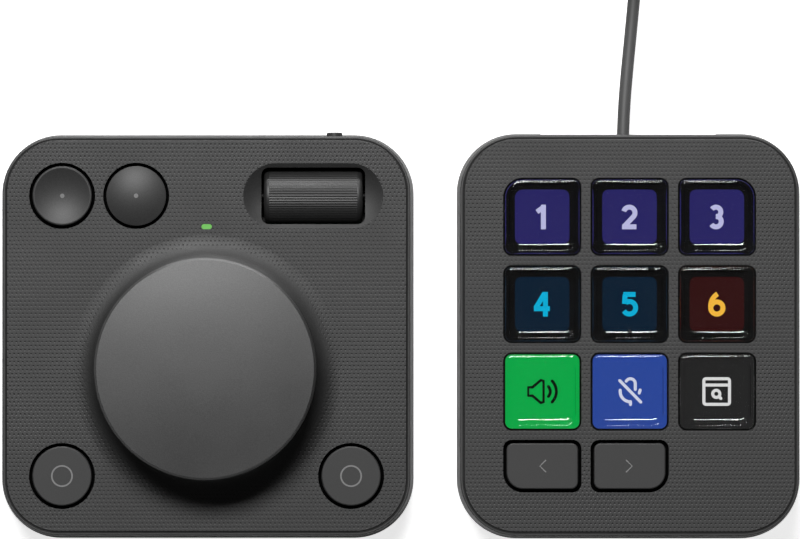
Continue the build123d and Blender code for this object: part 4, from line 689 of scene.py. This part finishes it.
def seam_bead(panel, body, top, material):
    """Soft bead in the foot of the seam between a panel and its frame."""
    low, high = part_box(panel)
    mesh = bmesh.new()
    edges = []
    for out in (SEAM_CLEAR, SEAM - SEAM_CLEAR):
        size = ((high.x - low.x) / MM + 2 * out, (high.y - low.y) / MM + 2 * out)
        path = rounded_path(*size, PANEL_CORNER + out, steps=16)[:-1]
        edges += edge_ring(mesh, [(x, y, 0) for x, y in path])
    bmesh.ops.bridge_loops(mesh, edges=edges)
    raise_plate(mesh, BEAD_THICKNESS)
    at = middle(panel)
    place(mesh, at.x, at.y, top - (SEAM_SINK + BEAD_THICKNESS) * MM)
    return piece_from(panel + "_seam_bead", mesh, material, body)


def seam_beads():
    """Beads round both panels."""
    material = rubber("seam_bead_rubber", 0.012, 0.018)
    seam_bead("dial_unit_panel", DIAL_UNIT, DIAL_PANEL_TOP, material)
    seam_bead("keypad_panel", KEYPAD, KEYPAD_PANEL_TOP, material)


# ------------------------------------------------------------------ key images
TILE = 12.7
TILE_CORNER = 2.1
IMAGE_FULL = 16.75
IMAGE_CORNER = 1.7
IMAGE_THICKNESS = 0.03
IMAGE_GAP = 0.02
NUMERAL_LINE = 1.12
SYMBOL_LINE = 0.72
SYMBOL_SCALE = 0.95
NUMERAL_TOP = 2.22


def joined(loop):
    """Loop whose last point is made exactly its first one."""
    return loop[:-1] + loop[:1]


def numeral_plate(number):
    """Plain upright numeral from 1 to 6."""
    top, foot = NUMERAL_TOP, -NUMERAL_TOP
    above, below = top + NUMERAL_LINE / 2, foot - NUMERAL_LINE / 2
    strokes = {
        1: [[(-1.15, 1.15), (0.3, top - 0.05)], [(0.3, above), (0.3, below)]],
        2: [arc((0.0, 0.95), 1.28, 165, -38, 16) + [(-1.25, foot)], [(-1.65, foot), (1.6, foot)]],
        3: [arc((-0.15, 1.13), 1.1, 145, -90, 16), arc((-0.15, -1.03), 1.2, 90, -148, 18)],
        4: [
            [(0.75, above), (0.75, below)],
            [(0.6, top + 0.3), (-1.45, -0.9)],
            [(-1.85, -1.0), (1.75, -1.0)],
        ],
        5: [[(1.4, top), (-1.35, top)], [(-0.95, top), (-1.1, 0.1)], arc((0.0, -0.8), 1.42, 125, -150, 20)],
        6: [arc((0.05, -0.85), 1.38, 0, 360, 28), arc((1.95, -0.45), 3.3, 187, 122, 12)],
    }[number]
    if number == 6:
        strokes[0] = joined(strokes[0])
    return stroke_plate(strokes, NUMERAL_LINE, IMAGE_THICKNESS, round_ends=False)


def speaker_mark():
    """Speaker with two sound waves."""
    upper = [(-3.3, 1.0), (-2.3, 1.0), (-0.3, 2.7), (0.35, 2.5)]
    cone = upper + [(x, -y) for x, y in upper[::-1]]
    waves = [arc((0.2, 0.0), 1.75, 42, -42), arc((-0.2, 0.0), 3.6, 44, -44)]
    return stroke_plate([cone + cone[:1], *waves], SYMBOL_LINE, IMAGE_THICKNESS)


def muted_microphone_mark():
    """Microphone crossed out."""
    head = arc((0.25, 1.9), 1.15, 150, 0, 10) + [(1.4, 0.5)]
    bowl = [(-2.2, 0.3)] + arc((0.25, 0.0), 2.45, 190, 262, 10)
    stem = [(0.25, -2.4), (0.25, -3.1)]
    hook = [(2.55, 0.35), (2.35, -0.35)]
    slash = [(-2.3, 2.6), (2.7, -2.5)]
    return stroke_plate([head, bowl, stem, hook, slash], SYMBOL_LINE, IMAGE_THICKNESS)


def search_window_mark():
    """Window with a bar along its top and a magnifying glass in it."""
    window = rounded_path(6.1, 6.1, 0.5)
    bar = [(-3.0, 1.55), (3.0, 1.55)]
    lens = arc((-0.1, -0.55), 0.85, 0, 360, 20)
    handle = [(0.55, -1.2), (1.0, -1.65)]
    return stroke_plate([window, bar, joined(lens), handle], SYMBOL_LINE, IMAGE_THICKNESS)


def key_image(key, parts):
    """Stack of thin lit plates below a clear key, lying on the mat."""
    at = middle(key)
    level = top_of("key_mat") + IMAGE_GAP * MM
    for number, (mesh, material) in enumerate(parts):
        name = key.replace("key_", "image_") + f"_layer{number + 1}"
        place(mesh, at.x, at.y, level)
        piece_from(name, mesh, material, KEYPAD)
        level += (IMAGE_THICKNESS + IMAGE_GAP) * MM


def key_images():
    """Numerals on tiles in the two rear rows, and symbols on whole keys in the front row."""
    lilac = screen_image("image_lilac", srgb("C3C3EC"))
    violet = screen_image("image_violet", srgb("272366"))
    navy = screen_image("image_navy", srgb("001B30"))
    cyan = screen_image("image_cyan", srgb("00B5E0"))
    maroon = screen_image("image_maroon", srgb("300606"))
    amber = screen_image("image_amber", srgb("FFC142"))
    tiles = [(violet, lilac)] * 3 + [(navy, cyan)] * 2 + [(maroon, amber)]
    for number, (ground, ink) in enumerate(tiles):
        key = f"key_row{number // 3 + 1}_column{number % 3 + 1}"
        tile = rounded_plate(TILE, TILE, TILE_CORNER, IMAGE_THICKNESS)
        key_image(key, [(tile, ground), (numeral_plate(number + 1), ink)])
    symbols = [
        (srgb("00AE48"), srgb("000E04"), speaker_mark()),
        (srgb("2A49A0"), srgb("D9DDF2"), muted_microphone_mark()),
        (srgb("222222"), srgb("E6E6E6"), search_window_mark()),
    ]
    for number, (ground, ink, mark) in enumerate(symbols):
        key = f"key_row3_column{number + 1}"
        plate = rounded_plate(IMAGE_FULL, IMAGE_FULL, IMAGE_CORNER, IMAGE_THICKNESS)
        shade = screen_image(f"image_ground{number + 7}", ground)
        pen = screen_image(f"image_mark{number + 7}", ink)
        bmesh.ops.scale(mark, vec=(SYMBOL_SCALE, SYMBOL_SCALE, 1), verts=mark.verts)
        key_image(key, [(plate, shade), (mark, pen)])


# ------------------------------------------------------------------ printed marks
PRINT = 0.02
DOT_SINK = 0.01
DOT_RADIUS = 0.5
RING_RADIUS = 2.3
RING_LINE = 0.35
CHEVRON = [(0.35, 1.3), (-0.95, 0.0), (0.35, -1.3)]
CHEVRON_SHIFT = 0.4
CHEVRON_LINE = 0.3
MARK_GREY = 0.21
DOT_GREY = 0.19
DISH_DEPTH = 0.9


def printed_marks():
    """Dots, rings and chevrons printed on the buttons."""
    ink = print_ink("mark_ink", MARK_GREY)
    faint = print_ink("dot_ink", DOT_GREY)
    for name in ("round_button_dished", "round_button_domed"):
        at = middle(name)
        sink = DISH_DEPTH * MM if name.endswith("dished") else DOT_SINK * MM
        mesh = place(disc_plate(DOT_RADIUS, PRINT + DOT_SINK), at.x, at.y, top_of(name) - sink)
        piece_from(name + "_dot", mesh, faint, name)
    for name in ("round_button_left", "round_button_right"):
        at = middle(name)
        mesh = place(ring_plate(RING_RADIUS, RING_LINE, PRINT), at.x, at.y, top_of(name))
        piece_from(name + "_ring", mesh, ink, name)
    for name, turn in (("page_button_left", 1), ("page_button_right", -1)):
        at = middle(name)
        path = [((x + CHEVRON_SHIFT) * turn, y) for x, y in CHEVRON]
        mesh = place(stroke_plate([path], CHEVRON_LINE, PRINT), at.x, at.y, top_of(name))
        piece_from(name + "_chevron", mesh, ink, name)


# ------------------------------------------------------------------ cord
def coil_points():
    """The spare cord's turns: levels of nested tracks, wound in and out by turns.

    Near the end of each turn the cord shifts smoothly to the next track. The points stand a little outside
    the track, because the spline cuts inside them, and the bundle swells a little under its tie.
    """
    levels = [COIL_TRACKS, COIL_TRACKS[::-1], COIL_TRACKS, COIL_TRACKS[::-1][:2]]
    tracks = [(radius, level) for level, radii in enumerate(levels) for radius in radii]
    tracks.append(tracks[-1])
    last = (len(tracks) - 1) * COIL_POINTS_PER_TURN + COIL_POINTS_PER_TURN * COIL_LAST_ANGLE // 360
    points = []
    for step in range(last + 1):
        turn, share = divmod(step / COIL_POINTS_PER_TURN, 1.0)
        here, following = tracks[int(turn)], tracks[min(int(turn) + 1, len(tracks) - 1)]
        shift = max(0.0, (share - 1 + COIL_SHIFT) / COIL_SHIFT)
        shift = shift * shift * (3 - 2 * shift)
        radius = here[0] + (following[0] - here[0]) * shift
        level = here[1] + (following[1] - here[1]) * shift
        angle = 360 * share
        radius *= 1 / math.cos(math.pi / COIL_POINTS_PER_TURN) ** 0.5
        radius += COIL_SWAY * math.sin(math.radians(angle * 2 + COIL_SWAY_TURN * turn))
        away = (angle - TIE_ANGLE) / TIE_SPREAD
        height = CORD_DIAMETER * (level + 0.5) + TIE_LIFT * math.exp(-away * away)
        x = COIL_CENTRE[0] + radius * math.cos(math.radians(angle))
        y = COIL_CENTRE[1] + radius * math.sin(math.radians(angle))
        points.append((x, y, height))
    return points


def coil_tie():
    """Soft strap round the coil's bundle."""
    inner = COIL_TRACKS[-1] - CORD_DIAMETER / 2 - TIE_SIDE_GAP
    outer = COIL_TRACKS[0] + CORD_DIAMETER / 2 + TIE_SIDE_GAP
    width = outer - inner
    height = COIL_LEVELS * CORD_DIAMETER + TIE_TOP_GAP
    path = rounded_path(width, height, TIE_CORNER, ((inner + outer) / 2, height / 2 + TIE_FLOOR_GAP))
    mesh = bmesh.new()
    edges = edge_ring(mesh, [(x, -TIE_WIDTH / 2, z) for x, z in path[:-1]])
    moved = bmesh.ops.extrude_edge_only(mesh, edges=edges)["geom"]
    top = [item for item in moved if isinstance(item, bmesh.types.BMVert)]
    bmesh.ops.translate(mesh, vec=(0, TIE_WIDTH, 0), verts=top)
    bmesh.ops.recalc_face_normals(mesh, faces=mesh.faces)
    bmesh.ops.solidify(mesh, geom=mesh.faces[:], thickness=TIE_THICKNESS)
    bmesh.ops.recalc_face_normals(mesh, faces=mesh.faces)
    bmesh.ops.rotate(mesh, matrix=Matrix.Rotation(math.radians(TIE_ANGLE), 3, "Z"), verts=mesh.verts)
    place(mesh, COIL_CENTRE[0] * MM, COIL_CENTRE[1] * MM, 0)
    return piece_from("cord_tie", mesh, rubber("tie_strap", 0.014, 0.026), KEYPAD)


def cord():
    """The whole cord, from the keypad's plug through the coil to the far plug."""
    route = CORD_RUN + coil_points() + CORD_TAIL
    curve = bpy.data.curves.new("cord", "CURVE")
    curve.dimensions = "3D"
    curve.bevel_depth = CORD_DIAMETER / 2 * MM
    curve.bevel_resolution = 6
    curve.resolution_u = 4
    curve.use_fill_caps = True
    spline = curve.splines.new("NURBS")
    spline.points.add(len(route) - 1)
    for point, (x, y, z) in zip(spline.points, route):
        point.co = (x * MM, y * MM, z * MM, 1)
    spline.order_u = 3
    spline.use_endpoint_u = True
    piece = bpy.data.objects.new("cord", curve)
    bpy.context.scene.collection.objects.link(piece)
    curve.materials.append(cord_jacket())
    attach(piece, KEYPAD)
    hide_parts("cord_run", "cord_coil", "cord_tail")
    pieces = [NODES["keypad_plug"], NODES["far_plug"], NODES["far_plug_shell"], coil_tie()]


# ------------------------------------------------------------------ clear key caps, millimetres
CAP_SIZE = 16.8
CAP_CORNER = 1.55
CAP_BIG_CORNER = 4.05
CAP_HEIGHT = 3.8
CAP_FLANGE = 0.9
CAP_FLANGE_REACH = 0.9
CAP_EDGE_ROUND = 0.65
CAP_RIM = 0.8
CAP_RIM_ROUND = 0.3
CAP_DISH_SINK = 0.55
CAP_DISH_ANGLE = 23
CAP_DISH_CORNER = 2.5
CAP_DISH_BLEND = 1.5
CAP_FLOOR_RING = 0.2
CAP_CORNER_STEPS = 10
CAP_EDGE_STEPS = 9
CAP_RIM_STEPS = 5
CAP_DISH_STEPS = 10
CAP_SHARP_DEGREES = 45
CAP_MERGE = 0.001
NIB_RADIUS = 0.45
NIB_OFFSET = 6.2
NIB_GAP = 0.01
# A key's corners are counted anticlockwise from the rear right one.
BIG_CORNERS = {"key_row1_column1": 1, "key_row1_column3": 0}


def cap_profile():
    """Key's section from the flange's foot up over the rim and down into the dish, as inset and depth."""
    lean = math.radians(CAP_DISH_ANGLE)
    section = [(-CAP_FLANGE_REACH, -CAP_HEIGHT), (-CAP_FLANGE_REACH, CAP_FLANGE - CAP_HEIGHT)]
    section += [(0.0, CAP_FLANGE - CAP_HEIGHT)]
    for step in range(CAP_EDGE_STEPS + 1):
        turn = math.radians(90 * step / CAP_EDGE_STEPS)
        section.append((CAP_EDGE_ROUND * (1 - math.cos(turn)), CAP_EDGE_ROUND * (math.sin(turn) - 1)))
    rim = CAP_RIM - CAP_RIM_ROUND * math.tan(lean / 2)
    for step in range(CAP_RIM_STEPS + 1):
        turn = lean * step / CAP_RIM_STEPS
        section.append((rim + CAP_RIM_ROUND * math.sin(turn), CAP_RIM_ROUND * (math.cos(turn) - 1)))
    floor_start = CAP_RIM + CAP_DISH_SINK / math.tan(lean) + CAP_DISH_BLEND * math.tan(lean / 2)
    for step in range(CAP_DISH_STEPS + 1):
        turn = lean * (1 - step / CAP_DISH_STEPS)
        depth = CAP_DISH_BLEND * (1 - math.cos(turn)) - CAP_DISH_SINK
        section.append((floor_start - CAP_DISH_BLEND * math.sin(turn), depth))
    return section + [(floor_start + CAP_FLOOR_RING, -CAP_DISH_SINK)]


def cap_ring(mesh, inset, depth, big):
    """Ring of edges round the key at one inset and depth, with its big corner where it has one."""
    points = []
    half = CAP_SIZE / 2 - inset
    for number, (side_x, side_y) in enumerate(((1, 1), (-1, 1), (-1, -1), (1, -1))):
        corner = CAP_CORNER - inset
        if inset > CAP_RIM - CAP_RIM_ROUND / 2:
            corner = CAP_DISH_CORNER + CAP_RIM - inset
        if number == big:
            corner = CAP_BIG_CORNER - inset
        at = (side_x * (half - corner), side_y * (half - corner))
        bend = arc(at, corner, 90 * number, 90 * number + 90, CAP_CORNER_STEPS)
        points += [(x, y, depth) for x, y in bend]
    return edge_ring(mesh, points)


def cap_mesh(big):
    """Closed clear key with a flange, a rounded rim and a shallow dish."""
    mesh = bmesh.new()
    section = cap_profile()
    for lower, upper in zip(section, section[1:]):
        edges = cap_ring(mesh, *lower, big) + cap_ring(mesh, *upper, big)
        bmesh.ops.bridge_loops(mesh, edges=edges)
    bmesh.ops.remove_doubles(mesh, verts=mesh.verts, dist=CAP_MERGE)
    bmesh.ops.holes_fill(mesh, edges=mesh.edges)
    bmesh.ops.recalc_face_normals(mesh, faces=mesh.faces)
    for face in mesh.faces:
        face.smooth = True
    for edge in mesh.edges:
        edge.smooth = math.degrees(edge.calc_face_angle()) < CAP_SHARP_DEGREES
    return mesh


def nib_mesh():
    """Small dome that the finger finds on the middle key."""
    mesh = bmesh.new()
    bmesh.ops.create_uvsphere(mesh, u_segments=24, v_segments=12, radius=NIB_RADIUS)
    cut = bmesh.ops.bisect_plane(
        mesh,
        geom=mesh.verts[:] + mesh.edges[:] + mesh.faces[:],
        plane_co=(0, 0, 0),
        plane_no=(0, 0, 1),
        clear_inner=True,
    )
    for face in mesh.faces:
        face.smooth = True
    rim = [item for item in cut["geom_cut"] if isinstance(item, bmesh.types.BMEdge)]
    base = bmesh.ops.edgenet_fill(mesh, edges=rim)["faces"]
    for face in base:
        face.smooth = False
    for edge in rim:
        edge.smooth = False
    bmesh.ops.recalc_face_normals(mesh, faces=mesh.faces)
    return mesh


def key_caps():
    """Nine clear keys over the display, and the middle key's nib."""
    clear = clear_plastic("clear_key", 0.97)
    for node in sorted(name for name in NODES if name.startswith("key_row")):
        at = middle(node)
        mesh = place(cap_mesh(BIG_CORNERS.get(node)), at.x, at.y, KEY_TOP)
        cap = piece_from(node.replace("key_", "cap_"), mesh, clear, node)
        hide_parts(node)
    at = middle("key_row2_column2")
    level = KEY_TOP - (CAP_DISH_SINK - NIB_GAP) * MM
    mesh = place(nib_mesh(), at.x, at.y - NIB_OFFSET * MM, level)
    # The nib is coloured near black: painted shade for the dark look that refraction gives the clear nib.
    dark = grained_plastic("nib_painted_shade", 0.003, 0.006, 0.2, grain_depth=0.0)
    piece_from("cap_nib", mesh, dark, "key_row2_column2")


# ------------------------------------------------------------------ stage, lamps and camera, millimetres
VIEW_CENTRE = (0.0, 15.15, 0.0)
VIEW_DISTANCE = 2200.0
VIEW_TILT = 0.87
VIEW_LENS = 433.1
VIEW_REACH = 20000.0
SENSOR_WIDTH = 36.0
FLOOR_HALF = 4000.0
FLOOR_GLOW = 0.75
SURROUNDINGS_LIGHT = 0.05


def camera():
    """Long lens almost straight above the pair."""
    data = bpy.data.cameras.new("camera")
    data.lens = VIEW_LENS
    data.sensor_width = SENSOR_WIDTH
    data.clip_end = VIEW_REACH * MM
    tilt = math.radians(VIEW_TILT)
    piece = bpy.data.objects.new("camera", data)
    back = Vector((0, -math.sin(tilt), math.cos(tilt))) * VIEW_DISTANCE
    piece.location = (Vector(VIEW_CENTRE) + back) * MM
    piece.rotation_euler = (tilt, 0, 0)
    bpy.context.scene.collection.objects.link(piece)
    bpy.context.scene.camera = piece


def floor_white():
    """Pale floor with light of its own added where the eye sees it, straight or through clear plastic."""
    graph = Graph("floor")
    path = graph.add("LightPath")
    seen = graph.math("MAXIMUM", path.outputs["Is Camera Ray"], path.outputs["Is Transmission Ray"])
    return graph.finish(
        Base_Color=grey(0.8),
        Roughness=0.9,
        Emission_Color=grey(1.0),
        Emission_Strength=graph.math("MULTIPLY", seen, FLOOR_GLOW),
    )


def floor():
    """Plain pale floor."""
    mesh = bmesh.new()
    bmesh.ops.create_grid(mesh, x_segments=1, y_segments=1, size=FLOOR_HALF * MM)
    data = bpy.data.meshes.new("floor")
    mesh.to_mesh(data)
    mesh.free()
    piece = bpy.data.objects.new("floor", data)
    bpy.context.scene.collection.objects.link(piece)
    data.materials.append(floor_white())


def lamp(name, at, aim, width, depth, watts):
    """Rectangular soft lamp that isn't seen, neither straight nor through clear plastic."""
    data = bpy.data.lights.new(name, "AREA")
    data.shape = "RECTANGLE"
    data.size = width * MM
    data.size_y = depth * MM
    data.energy = watts
    piece = bpy.data.objects.new(name, data)
    piece.location = Vector(at) * MM
    piece.rotation_euler = (Vector(aim) - Vector(at)).to_track_quat("-Z", "Y").to_euler()
    piece.visible_camera = False
    piece.visible_transmission = False
    bpy.context.scene.collection.objects.link(piece)


def world():
    """Dim even surroundings that the camera sees as white."""
    surroundings = bpy.data.worlds.new("surroundings")
    surroundings.use_nodes = True
    tree = surroundings.node_tree
    background = tree.nodes["Background"]
    path = tree.nodes.new("ShaderNodeLightPath")
    strength = tree.nodes.new("ShaderNodeMapRange")
    strength.inputs["To Min"].default_value = SURROUNDINGS_LIGHT
    strength.inputs["To Max"].default_value = 1.0
    tree.links.new(path.outputs["Is Camera Ray"], strength.inputs["Value"])
    tree.links.new(strength.outputs[0], background.inputs["Strength"])
    background.inputs["Color"].default_value = (1, 1, 1, 1)
    bpy.context.scene.world = surroundings


def studio():
    """Floor, lamps and surroundings."""
    floor()
    world()
    lamp("rear_softbox", at=(-150, 620, 1440), aim=(0, 0, 20), width=620, depth=340, watts=22.0)
    lamp("low_rear_softbox", at=(80, 1000, 160), aim=(0, 50, 20), width=1100, depth=160, watts=8.0)
    bpy.context.scene.view_settings.view_transform = "Standard"


camera()
cord()
finish_nodes()
seam_beads()
key_images()
key_caps()
printed_marks()
studio()
